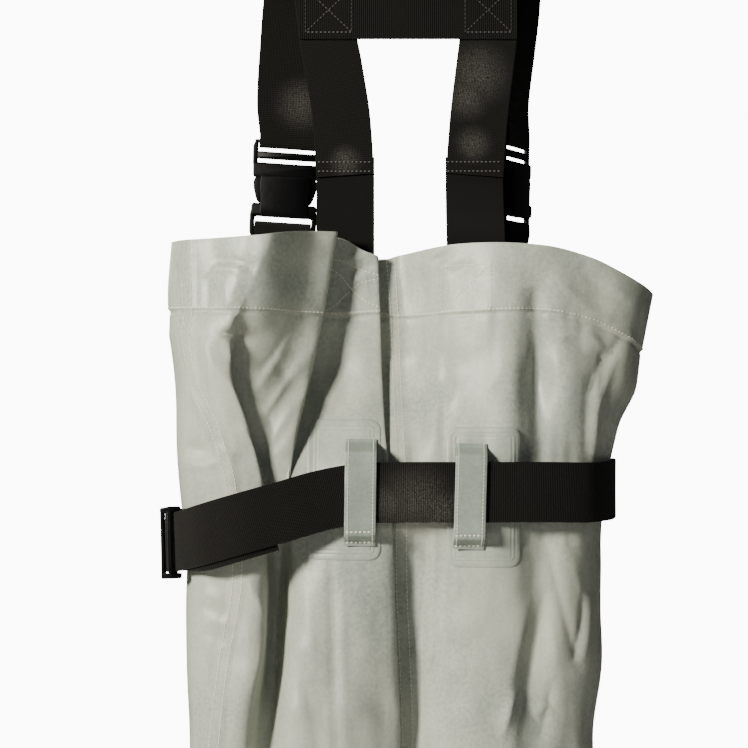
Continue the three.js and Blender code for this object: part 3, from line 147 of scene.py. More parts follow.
floor_data = bpy.data.meshes.new("floor")
floor_data.from_pydata([(-4, -4, 0), (4, -4, 0), (4, 4, 0), (-4, 4, 0)], [], [(0, 1, 2, 3)])
floor = bpy.data.objects.new("floor", floor_data)
floor.location.z = -0.0004
bpy.context.scene.collection.objects.link(floor)
paint = bpy.data.materials.new("pale_floor")
paint.use_nodes = True
paint.node_tree.nodes["Principled BSDF"].inputs["Base Color"].default_value = linear("#eceae6")
paint.node_tree.nodes["Principled BSDF"].inputs["Roughness"].default_value = 0.85
floor_data.materials.append(paint)
print("lamps and floor are in place")

# %% [markdown]
# ## Finishes
#
# Each finish starts from the real material. Coated nylon is a woven cloth under a thin skin of
# PVC: the skin gives a soft wide gloss, and the weave shows through as a very fine grain. Webbing
# and elastic have ribs across their length, which need a pattern that follows the strap, so they
# read the strap's own UV map, whose U is millimetres along and V is millimetres across.


# %% A blank finish
def finish(name, roughness, **inputs):
    """A material with one Principled shader, which the caller goes on to wire."""
    material = bpy.data.materials.new(name)
    material.use_nodes = True
    tree = material.node_tree
    shader = tree.nodes["Principled BSDF"]
    shader.inputs["Roughness"].default_value = roughness
    for key, value in inputs.items():
        shader.inputs[key].default_value = value
    return material, tree, shader


def patches(tree, where, spots, scale):
    """How much dust lies at a point: 1 in the middle of a spot, 0 outside, broken up by noise."""
    grain = add(tree, "ShaderNodeTexNoise", {"Vector": where, "Scale": scale, "Detail": 5.0})
    total = None
    for place, radius in spots:
        point = tuple(n * MM for n in place)
        away = add(tree, "ShaderNodeVectorMath", {0: where, 1: point}, operation="DISTANCE")
        near = add(
            tree,
            "ShaderNodeMapRange",
            {"Value": away.outputs["Value"], "From Min": radius * MM, "From Max": 0.0},
            interpolation_type="SMOOTHSTEP",
        ).outputs[0]
        if total is not None:
            near = add(tree, "ShaderNodeMath", {0: total, 1: near}, operation="MAXIMUM").outputs[0]
        total = near
    broken = add(
        tree,
        "ShaderNodeMapRange",
        {"Value": grain.outputs[0], "From Min": 0.38, "From Max": 0.66},
    )
    both = {0: total, 1: broken.outputs[0]}
    return add(tree, "ShaderNodeMath", both, operation="MULTIPLY").outputs[0]


def blend(tree, share, one, two):
    """The colour between two colours at a share."""
    inputs = {0: share, 6: one, 7: two}
    return add(tree, "ShaderNodeMix", inputs, data_type="RGBA").outputs[2]


# %% Coated nylon
# PVC-coated nylon, calendered: a matt satin skin over a weave of about 0.5 mm threads. The weave
# is drawn at 1.5 mm, as fine as the picture can show. The dye is uneven over a hand's width, use
# rubs upright streaks into it, and packing away leaves dents and a net of soft ridges.
WEAVE = 1.5 * MM


def coated_cloth(name, light, dark, roughness, stain=()):
    """The skin of coated cloth: blotched colour, a fine mottle, a weave, and shallow dents."""
    material, tree, shader = finish(name, roughness, **{"Specular IOR Level": 0.42})
    where = add(tree, "ShaderNodeTexCoord").outputs["Object"]
    wide = add(tree, "ShaderNodeTexNoise", {"Vector": where, "Scale": 11.0, "Detail": 4.0})
    fine = add(tree, "ShaderNodeTexNoise", {"Vector": where, "Scale": 330.0, "Detail": 3.0})
    streak = add(tree, "ShaderNodeMapping", {"Vector": where, "Scale": (70.0, 70.0, 7.0)})
    rubbed = add(
        tree,
        "ShaderNodeTexNoise",
        {"Vector": streak.outputs[0], "Scale": 1.0, "Detail": 4.0},
    )
    spread = {"From Min": 0.33, "From Max": 0.67}
    wide_share = add(tree, "ShaderNodeMapRange", {"Value": wide.outputs[0], **spread})
    fine_share = add(tree, "ShaderNodeMapRange", {"Value": fine.outputs[0], **spread})
    rubbed_share = add(
        tree,
        "ShaderNodeMapRange",
        {"Value": rubbed.outputs[0], "From Min": 0.42, "From Max": 0.72, "To Max": 0.55},
    )
    colour = blend(tree, wide_share.outputs[0], linear(dark), linear(light))
    pale = tuple(min(1.0, 1.24 * n) for n in linear(light)[:3]) + (1.0,)
    mottle = {0: fine_share.outputs[0], 1: 0.5}
    mottled = add(tree, "ShaderNodeMath", mottle, operation="MULTIPLY").outputs[0]
    colour = blend(tree, mottled, colour, pale)
    colour = blend(tree, rubbed_share.outputs[0], colour, linear(dark))
    if stain:
        mark = patches(tree, where, stain, 90.0)
        share = add(tree, "ShaderNodeMath", {0: mark, 1: 0.42}, operation="MULTIPLY").outputs[0]
        colour = blend(tree, share, colour, linear("#b49a5e"))
    tree.links.new(colour, shader.inputs["Base Color"])

    parts = add(tree, "ShaderNodeSeparateXYZ", {0: where}).outputs
    round_ = add(tree, "ShaderNodeMath", {0: parts[0], 1: parts[1]}, operation="ADD").outputs[0]
    threads = []
    for along in (round_, parts[2]):
        turns = {0: along, 1: 2 * np.pi / WEAVE}
        angle = add(tree, "ShaderNodeMath", turns, operation="MULTIPLY").outputs[0]
        threads.append(add(tree, "ShaderNodeMath", {0: angle}, operation="SINE").outputs[0])
    woven = {0: threads[0], 1: threads[1]}
    weave = add(tree, "ShaderNodeMath", woven, operation="MULTIPLY").outputs[0]
    dents = add(tree, "ShaderNodeTexNoise", {"Vector": where, "Scale": 75.0, "Detail": 3.0})
    dented = add(
        tree,
        "ShaderNodeBump",
        {"Height": dents.outputs[0], "Strength": 0.35, "Distance": 1.2 * MM},
    )
    folds = add(
        tree,
        "ShaderNodeTexNoise",
        {"Vector": where, "Scale": 21.0, "Detail": 3.0, "Roughness": 0.5},
        noise_type="RIDGED_MULTIFRACTAL",
    )
    crumpled = add(
        tree,
        "ShaderNodeBump",
        {
            "Height": folds.outputs[0],
            "Strength": 1.0,
            "Distance": 6.0 * MM,
            "Normal": dented.outputs[0],
        },
    )
    grained = add(
        tree,
        "ShaderNodeBump",
        {
            "Height": weave,
            "Normal": crumpled.outputs[0],
            "Strength": 0.25,
            "Distance": 0.12 * MM,
        },
    )
    tree.links.new(grained.outputs[0], shader.inputs["Normal"])
    gloss = add(
        tree,
        "ShaderNodeMapRange",
        {
            "Value": wide.outputs[0],
            "From Min": 0.3,
            "From Max": 0.7,
            "To Min": roughness - 0.06,
            "To Max": roughness + 0.08,
        },
    )
    tree.links.new(gloss.outputs[0], shader.inputs["Roughness"])
    return material


YELLOWED = [((-3, -145, 1277), 13)]
nylon = coated_cloth("coated_nylon", "#a5a99d", "#899089", 0.43, YELLOWED)
patch_nylon = coated_cloth("welded_nylon_patch", "#9aa095", "#8b928a", 0.42)
loop_nylon = coated_cloth("coated_loop_tape", "#848e86", "#78827b", 0.38)


# %% Webbing and elastic
# Polypropylene webbing and covered rubber elastic: black yarn, matt, with a rib for each weft
# thread. Ribs are 1.7 mm apart on the elastic and 1.5 mm on the belt. Dust lies on them in patches,
# and their crests are painted lighter and their hollows darker: painted highlight and painted shade.
def ribbed(name, dark, light, pitch, depth, dust=()):
    """Woven tape with ribs across it: a sine along U for the ribs, and a finer one along V."""
    material, tree, shader = finish(name, 0.86, **{"Specular IOR Level": 0.14})
    shader.inputs["Sheen Weight"].default_value = 0.03
    shader.inputs["Sheen Roughness"].default_value = 0.6
    where = add(tree, "ShaderNodeTexCoord")
    tape = add(tree, "ShaderNodeSeparateXYZ", {0: where.outputs["UV"]}).outputs
    waves = []
    for along, size in ((tape[0], pitch), (tape[1], 0.8 * pitch)):
        turns = {0: along, 1: 2 * np.pi / size}
        angle = add(tree, "ShaderNodeMath", turns, operation="MULTIPLY").outputs[0]
        waves.append(add(tree, "ShaderNodeMath", {0: angle}, operation="SINE").outputs[0])
    lesser = add(tree, "ShaderNodeMath", {0: waves[1], 1: 0.4}, operation="MULTIPLY").outputs[0]
    knit = {0: waves[0], 1: lesser}
    height = add(tree, "ShaderNodeMath", knit, operation="ADD").outputs[0]
    point = where.outputs["Object"]
    fuzz = add(tree, "ShaderNodeTexNoise", {"Vector": point, "Scale": 520.0, "Detail": 3.0})
    # Painted highlight and shade: the colour is lighter on the ribs' crests and darker in their
    # hollows, broken by a fine noise of random tone
    crest = add(
        tree,
        "ShaderNodeMapRange",
        {"Value": height, "From Min": -0.7, "From Max": 1.2},
    )
    share = {0: crest.outputs[0], 1: fuzz.outputs[0]}
    rib_highlight_and_grain = add(tree, "ShaderNodeMath", share, operation="MULTIPLY").outputs[0]
    colour = blend(tree, rib_highlight_and_grain, linear(dark), linear(light))
    if dust:
        mark = patches(tree, point, dust, 1400.0)
        ratio = {0: mark, 1: 0.26}
        mark = add(tree, "ShaderNodeMath", ratio, operation="MULTIPLY").outputs[0]
        colour = blend(tree, mark, colour, linear("#8b8883"))
    tree.links.new(colour, shader.inputs["Base Color"])
    relief = {"Height": height, "Strength": 0.7, "Distance": depth * MM}
    bump = add(tree, "ShaderNodeBump", relief)
    tree.links.new(bump.outputs[0], shader.inputs["Normal"])
    return material


BELT_DUST = [((6, -147, 1152), 42), ((24, -147, 1144), 30), ((-14, -147, 1150), 26)]
STRAP_DUST = [
    ((62, -72, 1516), 36),
    ((52, -72, 1496), 26),
    ((58, -74, 1455), 20),
    ((-52, -74, 1440), 18),
    ((-92, -20, 1496), 30),
]
# Each tape's darker colour is its hollows' painted shade, and its lighter one its crests' painted
# highlight
belt_web = ribbed("polypropylene_belt", "#030302", "#201e1a", 1.5 * MM, 0.35, BELT_DUST)
elastic = ribbed("covered_elastic", "#030302", "#171512", 1.7 * MM, 0.4, STRAP_DUST)
smooth_web = ribbed("smooth_webbing", "#020202", "#0b0a09", 0.9 * MM, 0.12)


# %% Moulded plastic and rubber
# Buckles are moulded acetal, black and glossy with slightly uneven faces. The boots are moulded
# PVC, smooth and semi-matt; the soles are nitrile rubber, matt and scuffed where they tread.
def moulded(name, dark, light, roughness, grain, depth, worn=0.0, shine=0.5):
    """A moulded part: nearly one colour, with a faint unevenness, and paler dusty wear."""
    material, tree, shader = finish(name, roughness, **{"Specular IOR Level": shine})
    where = add(tree, "ShaderNodeTexCoord").outputs["Object"]
    wide = add(tree, "ShaderNodeTexNoise", {"Vector": where, "Scale": 24.0, "Detail": 5.0})
    fine = add(tree, "ShaderNodeTexNoise", {"Vector": where, "Scale": grain, "Detail": 3.0})
    share = add(
        tree,
        "ShaderNodeMapRange",
        {"Value": wide.outputs[0], "From Min": 0.35, "From Max": 0.7},
    )
    colour = blend(tree, share.outputs[0], linear(dark), linear(light))
    if worn:
        height = add(tree, "ShaderNodeSeparateXYZ", {0: where}).outputs[2]
        low = add(
            tree,
            "ShaderNodeMapRange",
            {"Value": height, "From Min": 0.1, "From Max": 0.0, "To Max": worn},
        )
        rubbed = {0: low.outputs[0], 1: wide.outputs[0]}
        scuff = add(tree, "ShaderNodeMath", rubbed, operation="MULTIPLY").outputs[0]
        colour = blend(tree, scuff, colour, linear("#7d776a"))
    tree.links.new(colour, shader.inputs["Base Color"])
    gloss = add(
        tree,
        "ShaderNodeMapRange",
        {"Value": fine.outputs[0], "To Min": roughness - 0.06, "To Max": roughness + 0.1},
    )
    tree.links.new(gloss.outputs[0], shader.inputs["Roughness"])
    relief = {"Height": fine.outputs[0], "Strength": 0.5, "Distance": depth * MM}
    bump = add(tree, "ShaderNodeBump", relief)
    tree.links.new(bump.outputs[0], shader.inputs["Normal"])
    return material


acetal = moulded("moulded_acetal", "#030304", "#060607", 0.4, 260.0, 0.15, 0.0, 0.13)
boot_pvc = moulded("moulded_boot_pvc", "#20231f", "#292c27", 0.42, 420.0, 0.2, 0.5)
sole_nitrile = moulded("moulded_sole_nitrile", "#1f1f1c", "#2a2925", 0.68, 300.0, 0.4, 0.4)
felt = moulded("insole_felt", "#565a57", "#6b6e69", 0.9, 700.0, 0.6)
thread = moulded("polyester_thread", "#c2c1b2", "#d6d4c6", 0.6, 900.0, 0.1)
dark_thread = moulded("black_polyester_thread", "#1a1917", "#2c2a26", 0.6, 900.0, 0.1)
print("finishes:", len(bpy.data.materials))

# %% [markdown]
# ## Making a piece from arrays
#
# A piece is one or more closed parts, and each part is an array of points and arrays of faces.
# A lattice of points gives its faces by counting, so nothing is placed by hand. If a part's
# volume comes out negative, its faces look inwards and are turned round.

# %% Parts and pieces
def lattice(rows, columns):
    """The corners of each cell of a lattice of closed rows, whose points are numbered in order."""
    r, c = np.arange(rows - 1)[:, None], np.arange(columns)[None, :]
    low, right = r + 1, (c + 1) % columns
    corners = [r * columns + c, r * columns + right, low * columns + right, low * columns + c]
    return np.stack(corners, -1).reshape(-1, 4)


def capped(rows, columns):
    """The cells of a lattice of closed rows, and one face across each end."""
    ends = np.arange(columns)
    return [lattice(rows, columns), ends[None, ::-1], ends[None, :] + (rows - 1) * columns]


def outward(points, faces):
    """The part with its faces outwards: the sum of its corner pyramids is a positive volume."""
    points = np.asarray(points, float).reshape(-1, 3)
    volume = 0.0
    for polygons in faces:
        first = points[polygons[:, 0]]
        for k in range(1, polygons.shape[1] - 1):
            cross = np.cross(points[polygons[:, k]], points[polygons[:, k + 1]])
            volume += (first * cross).sum()
    if volume < 0:
        faces = [polygons[:, ::-1] for polygons in faces]
    return points, faces


def piece(name, parts, material, stands_for=(), uv=None, sharp=35):
    """Puts parts, in millimetres of the frame, into one object that rides on the body."""
    start, points, faces = 0, [], []
    for part_points, part_faces in parts:
        points.append(part_points)
        for polygons in part_faces:
            faces += (polygons + start).tolist()
        start += len(part_points)
    points = np.concatenate(points) * MM
    mesh = bpy.data.meshes.new(name)
    mesh.from_pydata(points.tolist(), [], faces)
    if uv is not None:
        corners = np.empty(len(mesh.loops), np.int32)
        mesh.loops.foreach_get("vertex_index", corners)
        layer = mesh.uv_layers.new(name="tape")
        layer.uv.foreach_set("vector", (uv[corners] * MM).astype(np.float32).ravel())
    mesh.shade_smooth()
    mesh.set_sharp_from_angle(angle=np.radians(sharp))
    mesh.materials.append(material)
    made = bpy.data.objects.new(name, mesh)
    bpy.context.scene.collection.objects.link(made)
    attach(made, "root")
    if stands_for:
        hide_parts(*stands_for)
    triangles = sum(len(face) - 2 for face in faces)
    print(f"{name}: {triangles} triangles")


# %% [markdown]
# ## The body's shape as it hangs
#
# The bib is a flattened tube whose outline changes down its length, and three folds lap over
# themselves on the back. A fold is one bump in two numbers: the fabric's place across is carried
# to the left under the fold's edge, and what lies right of it is set deeper. Hung cloth also
# has creases that no formula of the tube gives, so these are placed one by one as long soft ridges.

# %% Sizes in millimetres
BIB_TOP, CROTCH, BODY_WIDTH, BODY_DEPTH = 1360, 772, 400, 160
FABRIC, HEM, DEEP_FOLD, FOLD_REACH = 1.2, 54, 16, 7
SOLE_LENGTH, BALL_WIDTH, BOOT_TOP, BOOT_SPACING, HEEL_OVERHANG = 300, 106, 320, 210, 82
SHAFT_WIDTH, SHAFT_DEPTH, BOOT_WALL, CUFF_LAP, CUFF_EASE = 120, 138, 2.6, 45, 1
GAP = 0.3

HALF_WIDTH, HALF_DEPTH = BODY_WIDTH / 2, BODY_DEPTH / 2
BODY_LENGTH = BIB_TOP - CROTCH
HEM_SHARE = HEM / BODY_LENGTH
BOOT_X = BOOT_SPACING / 2

# The tables are about the middle between the boots, and the frame is about the whole box
left_sole, right_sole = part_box("outsole_left"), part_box("outsole_right")
MIDDLE = (left_sole[0][0] + right_sole[1][0]) / 2 / MM
HEEL_LINE = left_sole[0][1] / MM + HEEL_OVERHANG
SHIFT = np.array([MIDDLE, HEEL_LINE, 0.0])
print("shift from the tables to the frame:", SHIFT.round(2))


# %% Curves through tables
def ease(t):
    """From 0 to 1 with level ends: 3 t squared less 2 t cubed."""
    t = np.clip(t, 0, 1)
    return t * t * (3 - 2 * t)


def mix(a, b, t):
    """The value a share t of the way from a to b."""
    return a + (b - a) * t


def curve(keys, values, at):
    """A smooth curve through values at keys: cubics whose slopes join each point's neighbours."""
    keys, values, at = (np.asarray(n, float) for n in (keys, values, at))
    last = len(keys) - 1
    before = np.maximum(np.arange(last + 1) - 1, 0)
    after = np.minimum(np.arange(last + 1) + 1, last)
    deep = (slice(None),) + (None,) * (values.ndim - 1)
    slope = (values[after] - values[before]) / (keys[after] - keys[before])[deep]
    at = np.clip(at, keys[0], keys[last])
    i = np.clip(np.searchsorted(keys, at, side="left") - 1, 0, last - 1)
    wide = at.shape + (1,) * (values.ndim - 1)
    span = (keys[i + 1] - keys[i]).reshape(wide)
    t = (at - keys[i]).reshape(wide) / span
    rise = values[i + 1] - values[i]
    bend = (slope[i] * (1 - t) - slope[i + 1] * t) * span - rise * (1 - 2 * t)
    return values[i] + rise * t + t * (1 - t) * bend


# %% The body's tables
# They go down the bib by shares of its length, and their places and depths are shares of half
# the width or half the depth
DOWN = [0, 0.092, 0.177, 0.255, 0.344, 0.468, 0.582, 0.706, 0.85, 1]
OUTLINE = {
    "left": [-0.975, -0.975, -0.97, -0.965, -0.95, -0.915, -0.912, -0.905, -0.88, -0.925],
    "right": [1.09, 1.045, 1.02, 0.94, 0.885, 0.87, 0.868, 0.83, 0.86, 0.925],
    "back": [1, 1.02, 1.02, 1.02, 0.98, 0.98, 1, 0.98, 0.9, 0.82],
    "front": [0.82, 0.86, 0.88, 0.88, 0.88, 0.88, 0.88, 0.88, 0.86, 0.82],
}
LEFT_PLEAT = {
    "place": [-0.62, -0.66, -0.7, -0.64, -0.57, -0.56, -0.57, -0.62, -0.62, -0.6],
    "lap": [0, 0.1, 0.75, 0.7, 0.4, 0.3, 0.3, 0.1, 0, 0],
    "step": [0.1, 0.3, 0.8, 0.75, 0.5, 0.5, 0.4, 0.2, 0, 0],
}
SIDE_FLAP = {
    "place": [-0.29, -0.355, -0.405, -0.445, -0.47, -0.46, -0.45, -0.45, -0.42, -0.4],
    "lap": [1, 1.05, 1, 0.75, 0.4, 0, 0, 0, 0, 0],
    "step": [0.65, 0.7, 0.75, 0.6, 0.35, 0.1, 0, 0, 0, 0],
}
CENTRE_FOLD = {
    "place": [-0.1, -0.092, -0.084, -0.07, -0.045, -0.032, -0.02, -0.005, -0.03, -0.06],
    "lap": [0.6, 0.6, 0.6, 0.55, 0.5, 0.55, 0.55, 0.5, 0.2, 0],
    "step": [0.65, 0.65, 0.65, 0.6, 0.5, 0.65, 0.7, 0.65, 0.3, 0],
}
LAPS = [LEFT_PLEAT, SIDE_FLAP, CENTRE_FOLD]
# How far past a fold's edge the cloth takes to come back, down the bib
LAP_RETURN = [130, 130, 115, 60, 40, 40, 40, 40, 40, 40]
BACK_SEAM = [-0.033, -0.017, -0.008, 0.002, 0.015, 0.02, 0.033, 0.045, 0.02, 0]
LEFT_SEAM = [-0.893, -0.875, -0.853, -0.765, -0.7, -0.68, -0.742, -0.778, -0.8, -0.84]

# Troughs: where each lies, how deep it is, and half its width
BACK_TROUGHS = [
    (
        [-0.3, -0.32, -0.34, -0.36, -0.4, -0.45, -0.5, -0.5, -0.45, -0.4],
        [0.28, 0.3, 0.28, 0.22, 0.1, 0.05, 0, 0, 0, 0],
        0.2,
    ),
    (
        [-0.5, -0.5, -0.5, -0.52, -0.525, -0.51, -0.53, -0.58, -0.58, -0.55],
        [0, 0, 0, 0, 0.1, 0.42, 0.42, 0.32, 0.12, 0],
        0.055,
    ),
    (
        [0.56, 0.57, 0.57, 0.57, 0.57, 0.58, 0.55, 0.56, 0.55, 0.5],
        [0, 0.08, 0.2, 0.18, 0.1, 0.12, 0.13, 0.1, 0.05, 0],
        0.075,
    ),
    (
        [0.02, 0.02, 0.02, 0.02, 0.03, 0.04, 0.05, 0.06, 0.02, 0],
        [0.16, 0.12, 0.1, 0.08, 0.03, 0.08, 0.1, 0.12, 0.26, 0.52],
        0.13,
    ),
]
FRONT_TROUGHS = [
    (
        [-0.55, -0.55, -0.52, -0.5, -0.48, -0.46, -0.46, -0.46, -0.45, -0.45],
        [0.1, 0.14, 0.16, 0.14, 0.08, 0.12, 0.14, 0.12, 0.06, 0],
        0.09,
    ),
    (
        [0.42, 0.42, 0.4, 0.38, 0.38, 0.38, 0.4, 0.42, 0.45, 0.45],
        [0.08, 0.1, 0.13, 0.12, 0.06, 0.1, 0.12, 0.1, 0.06, 0],
        0.1,
    ),
    ([0] * 10, [0, 0.03, 0.05, 0.05, 0.03, 0.05, 0.08, 0.1, 0.24, 0.5], 0.13),
]

# How far the hem's edge, its seam and its front stand above level or droop, in shares of HEM
DROOP_PLACE = [-1, -0.6, -0.28, -0.09, 0, 0.25, 0.6, 0.8, 0.95, 1.09]
DROOP = {
    "edge": [0.17, 0.22, 0.3, -0.1, -0.02, 0.12, 0.08, -0.1, -0.36, -0.67],
    "hem": [0.09, 0.06, 0, 0.04, -0.02, 0.03, 0.05, -0.1, -0.36, -0.67],
    "front": [0.1, 0.05, 0, 0, 0, 0.06, 0.26, 0, -0.4, -0.67],
}
DROOP_GONE = 0.27
SIDE_FULLNESS = 0.55

# %% Creases placed one by one
# Each one runs from x, z to x, z in millimetres, with how far its middle bows to the side, how
# wide it is, and how far it stands out (+) or in (-)
BACK_CREASES = [
    (100, 1336, 97, 1170, 0, 42, 4.5),
    (102, 1112, 92, 860, 0, 42, 4.5),
    (20, 1126, 8, 850, 0, 58, -12),
    (-101, 1122, -112, 840, 0, 10, -8),
    (-83, 1281, -114, 1223, 3, 5, 2.2),
    (-95, 1293, -120, 1258, 2, 5, -2),
    (-91, 1239, -106, 1202, 0, 5, 2.2),
    (-156, 1344, -120, 1337, 4, 4, 1.5),
    (-156, 1350, -118, 1342, 4, 3.5, -1.5),
    (-159, 1340, -157, 1308, 0, 6, -1.3),
    (-148, 1338, -140, 1312, 2, 8, 1.2),
    (-157, 1284, -138, 1238, -3, 5, 2.4),
    (-149, 1284, -128, 1238, -3, 5, -1.3),
    (-176, 1248, -160, 1202, 2, 4.5, 2),
    (-168, 1246, -152, 1206, 2, 5, -1.2),
    (-182, 1194, -156, 1191, 0, 9, -2.6),
    (-186, 1181, -150, 1183, -2, 4.5, 2.2),
    (-150, 1196, -136, 1186, 0, 5, 1.6),
    (-138, 1214, -115, 1180, 0, 4, 1.8),
    (-128, 1210, -110, 1180, 0, 4, -1.4),
    (-124, 1240, -96, 1292, -4, 7, 1.6),
    (-108, 1272, -88, 1240, 0, 7, -1.3),
    (-92, 1230, -104, 1188, 2, 5, 1.6),
    (-112, 1222, -100, 1196, 0, 5, -1.2),
    (-46, 1354, -22, 1362, 0, 3.5, 1.3),
    (-44, 1342, -26, 1352, 0, 3.5, -1.2),
    (-40, 1334, -28, 1343, 0, 3, 1.2),
    (41, 1303, 35, 1188, 0, 4, -1.8),
    (33, 1302, 29, 1200, 0, 5, 1.0),
    (26, 1303, 22, 1210, 0, 4, -1.4),
    (16, 1303, 13, 1236, 0, 4, -0.9),
    (58, 1303, 55, 1240, 0, 5, -0.6),
    (80, 1303, 78, 1250, 0, 6, -0.6),
    (22, 1346, 24, 1310, 0, 8, -2.6),
    (15, 1350, 36, 1362, 0, 3.5, 1.5),
    (28, 1344, 54, 1356, 0, 3.5, 1.4),
    (26, 1352, 44, 1358, 0, 3, -1.2),
    (42, 1338, 62, 1350, 0, 4, -1.0),
    (114, 1330, 112, 1308, 0, 7, -2.0),
    (106, 1304, 108, 1184, 0, 4, 1.0),
    (113, 1300, 116, 1184, 0, 7, -1.3),
    (132, 1290, 170, 1282, 3, 6, 0.8),
    (136, 1283, 156, 1279, 2, 4, -1.2),
    (154, 1292, 176, 1274, 0, 6, 1.3),
    (166, 1272, 162, 1182, 0, 4.5, 2.2),
    (157, 1258, 156, 1190, 0, 5, -1.4),
    (180, 1272, 165, 1226, 0, 5, 1.8),
    (175, 1280, 160, 1240, -2, 4, -1.8),
    (186, 1290, 172, 1262, 0, 4, -1.4),
    (128, 1342, 178, 1300, -4, 9, 1.4),
    (150, 1348, 192, 1314, -3, 7, -1.2),
    (122, 1129, 152, 1006, -2, 8, -2.0),
    (134, 1122, 158, 1050, 2, 9, 0.9),
    (123, 1078, 100, 940, -3, 8, -2.0),
    (125, 1052, 131, 1010, 0, 7, 0.9),
    (108, 1072, 88, 960, -2, 8, 1.4),
    (97, 994, 84, 952, 0, 5, 2),
    (160, 1071, 151, 1012, 3, 6, 1.3),
    (153, 1072, 145, 1014, 3, 4, -1.8),
    (112, 972, 126, 980, 0, 8, 1.8),
    (128, 1000, 118, 948, 0, 6, -1.6),
    (30, 1128, 19, 900, 0, 3, 1.4),
    (23, 1128, 12, 900, 0, 4, -1.6),
    (-58, 1104, -52, 930, 0, 4, -1.8),
    (-50, 1104, -45, 930, 0, 5, 1.0),
    (-166, 1073, -146, 1060, 3, 5, 1.6),
    (-162, 1052, -142, 1040, 3, 5, 1.5),
    (-167, 1063, -150, 1050, 0, 5, -1.4),
    (-164, 1042, -148, 1030, 0, 6, -1.2),
    (-128, 1086, -109, 1042, 0, 4.5, 2.2),
    (-119, 1088, -104, 1050, 0, 4, -1.8),
    (-112, 1040, -128, 985, 0, 6, 1.4),
    (-86, 1090, -72, 1010, 3, 8, 1.2),
    (-78, 1000, -66, 930, 0, 9, -1.4),
]
FRONT_CREASES = [
    (-140, 1300, -120, 1180, 4, 8, -1.6),
    (-60, 1310, -40, 1200, -4, 9, 1.6),
    (30, 1304, 50, 1190, 4, 8, -1.6),
    (120, 1290, 100, 1170, -6, 8, 1.8),
    (-150, 1120, -90, 1010, 6, 9, -2.2),
    (-60, 1110, -30, 980, 0, 8, 1.6),
    (40, 1120, 20, 960, 5, 8, -1.8),
    (140, 1110, 80, 980, -6, 9, -2.2),
    (110, 1050, 60, 880, 0, 9, 1.8),
    (-120, 1000, -70, 850, 5, 10, 1.8),
]


# The broad fold beside the left strap: where its ridge runs, by height, how far it stands out,
# how far the cloth reaches before it, sinks behind it and climbs back, and its lowest height
RIDGE_Z = [1165, 1206, 1247, 1276, 1290, 1308, 1342, 1374]
RIDGE_X = [-108, -118, -131, -141, -147, -131, -117, -106]
FLAP_RISE, FLAP_STEP, FLAP_SUNK = 15.0, 0.4, 2.2
FLAP_REACH, SINK_REACH, CLIMB_START, CLIMB_REACH = 36, 40, -22, 124
STEP_TOP, STEP_FADE, FLAP_FOOT, FLAP_FADE = 1308, 25, 1166, 110


def flap(x, z, edge):
    """The fold: up to its ridge, a plane that falls away from it, a step, and a slow climb."""
    ridge = np.minimum(np.interp(z, RIDGE_Z, RIDGE_X), edge - 8)
    share = np.clip((x - ridge) / (edge - ridge), 0, 1)
    plane = 1 - 2 * share
    plane -= FLAP_STEP * ease((x - ridge) / 5) * (1 - share) * ease((STEP_TOP - z) / STEP_FADE)
    rise = np.where(x < ridge, np.exp(-(((ridge - x) / FLAP_REACH) ** 2)), plane)
    sunk = 1 + FLAP_SUNK * (1 - np.exp(-np.maximum(0, x - edge) / SINK_REACH))
    rise = np.where(x > edge, sunk * (ease((x - CLIMB_START) / CLIMB_REACH) - 1), rise)
    return FLAP_RISE * rise * ease((z - FLAP_FOOT) / FLAP_FADE)


# How much more the creases stand out than their numbers say, how wide the round of their crest
# is in shares of their width, and how steeply they fall away from it
CREASE_GAIN, CREST, CREASE_FALL = 1.4, 0.2, 1.4


def crease_rise(creases, x, z):
    """How far creases stand out: a ridge with a rounded crest, that rises and falls along."""
    total = np.zeros(np.broadcast(x, z).shape)
    for x0, z0, x1, z1, bow, wide, rise in creases:
        run = np.array([x1 - x0, z1 - z0], float)
        length = np.hypot(*run)
        ux, uz = run / length
        along = ((x - x0) * ux + (z - z0) * uz) / length
        swell = np.clip(4 * along * (1 - along), 0, None)
        off = ((x - x0) * -uz + (z - z0) * ux - bow * swell) / wide
        away = np.hypot(off, CREST) - CREST
        total += CREASE_GAIN * rise * np.sqrt(swell) * np.exp(-CREASE_FALL * away)
    return total


# %% Sway: the small waves that all hung cloth has
rng = np.random.default_rng(7)
WAVE_COUNT = 26
WAVE_ACROSS = rng.uniform(26, 110, WAVE_COUNT)
WAVE_DOWN = rng.uniform(70, 420, WAVE_COUNT) * rng.choice([-1, 1], WAVE_COUNT)
WAVE_PHASE = rng.uniform(0, 2 * np.pi, WAVE_COUNT)


def sway(across, z):
    """A sum of slow waves, mostly upright as hanging cloth folds, each as high as it is long."""
    total = np.zeros(np.broadcast(across, z).shape)
    for wide, tall, phase in zip(WAVE_ACROSS, WAVE_DOWN, WAVE_PHASE):
        turn = 2 * np.pi * (across / wide + z / tall) + phase
        total += 0.0042 * wide * np.sin(turn)
    return total


def puckers(across, below):
    """Gathers at a sewn or belted line: short upright waves that die away from the line."""
    wave = np.sin(across / 2.3 + 1.7 * np.sin(across / 11)) + 0.6 * np.sin(across / 5.1 + 1)
    return wave * np.exp(-((below / 16) ** 2))


# %% The back and the front as formulas
def outline_at(down):
    """The outline's middle, half width, back and front at a share down the bib."""
    left = curve(DOWN, OUTLINE["left"], down) * HALF_WIDTH
    right = curve(DOWN, OUTLINE["right"], down) * HALF_WIDTH
    back = curve(DOWN, OUTLINE["back"], down) * HALF_DEPTH
    front = curve(DOWN, OUTLINE["front"], down) * HALF_DEPTH
    return (left + right) / 2, (right - left) / 2, back, front


def trough_depth(troughs, x, down):
    """How deep the troughs are: a bell curve across each one."""
    total = 0
    for place, depth, wide in troughs:
        off = (x - curve(DOWN, place, down) * HALF_WIDTH) / (wide * HALF_WIDTH)
        total = total + curve(DOWN, depth, down) * HALF_DEPTH * np.exp(-off * off)
    return total


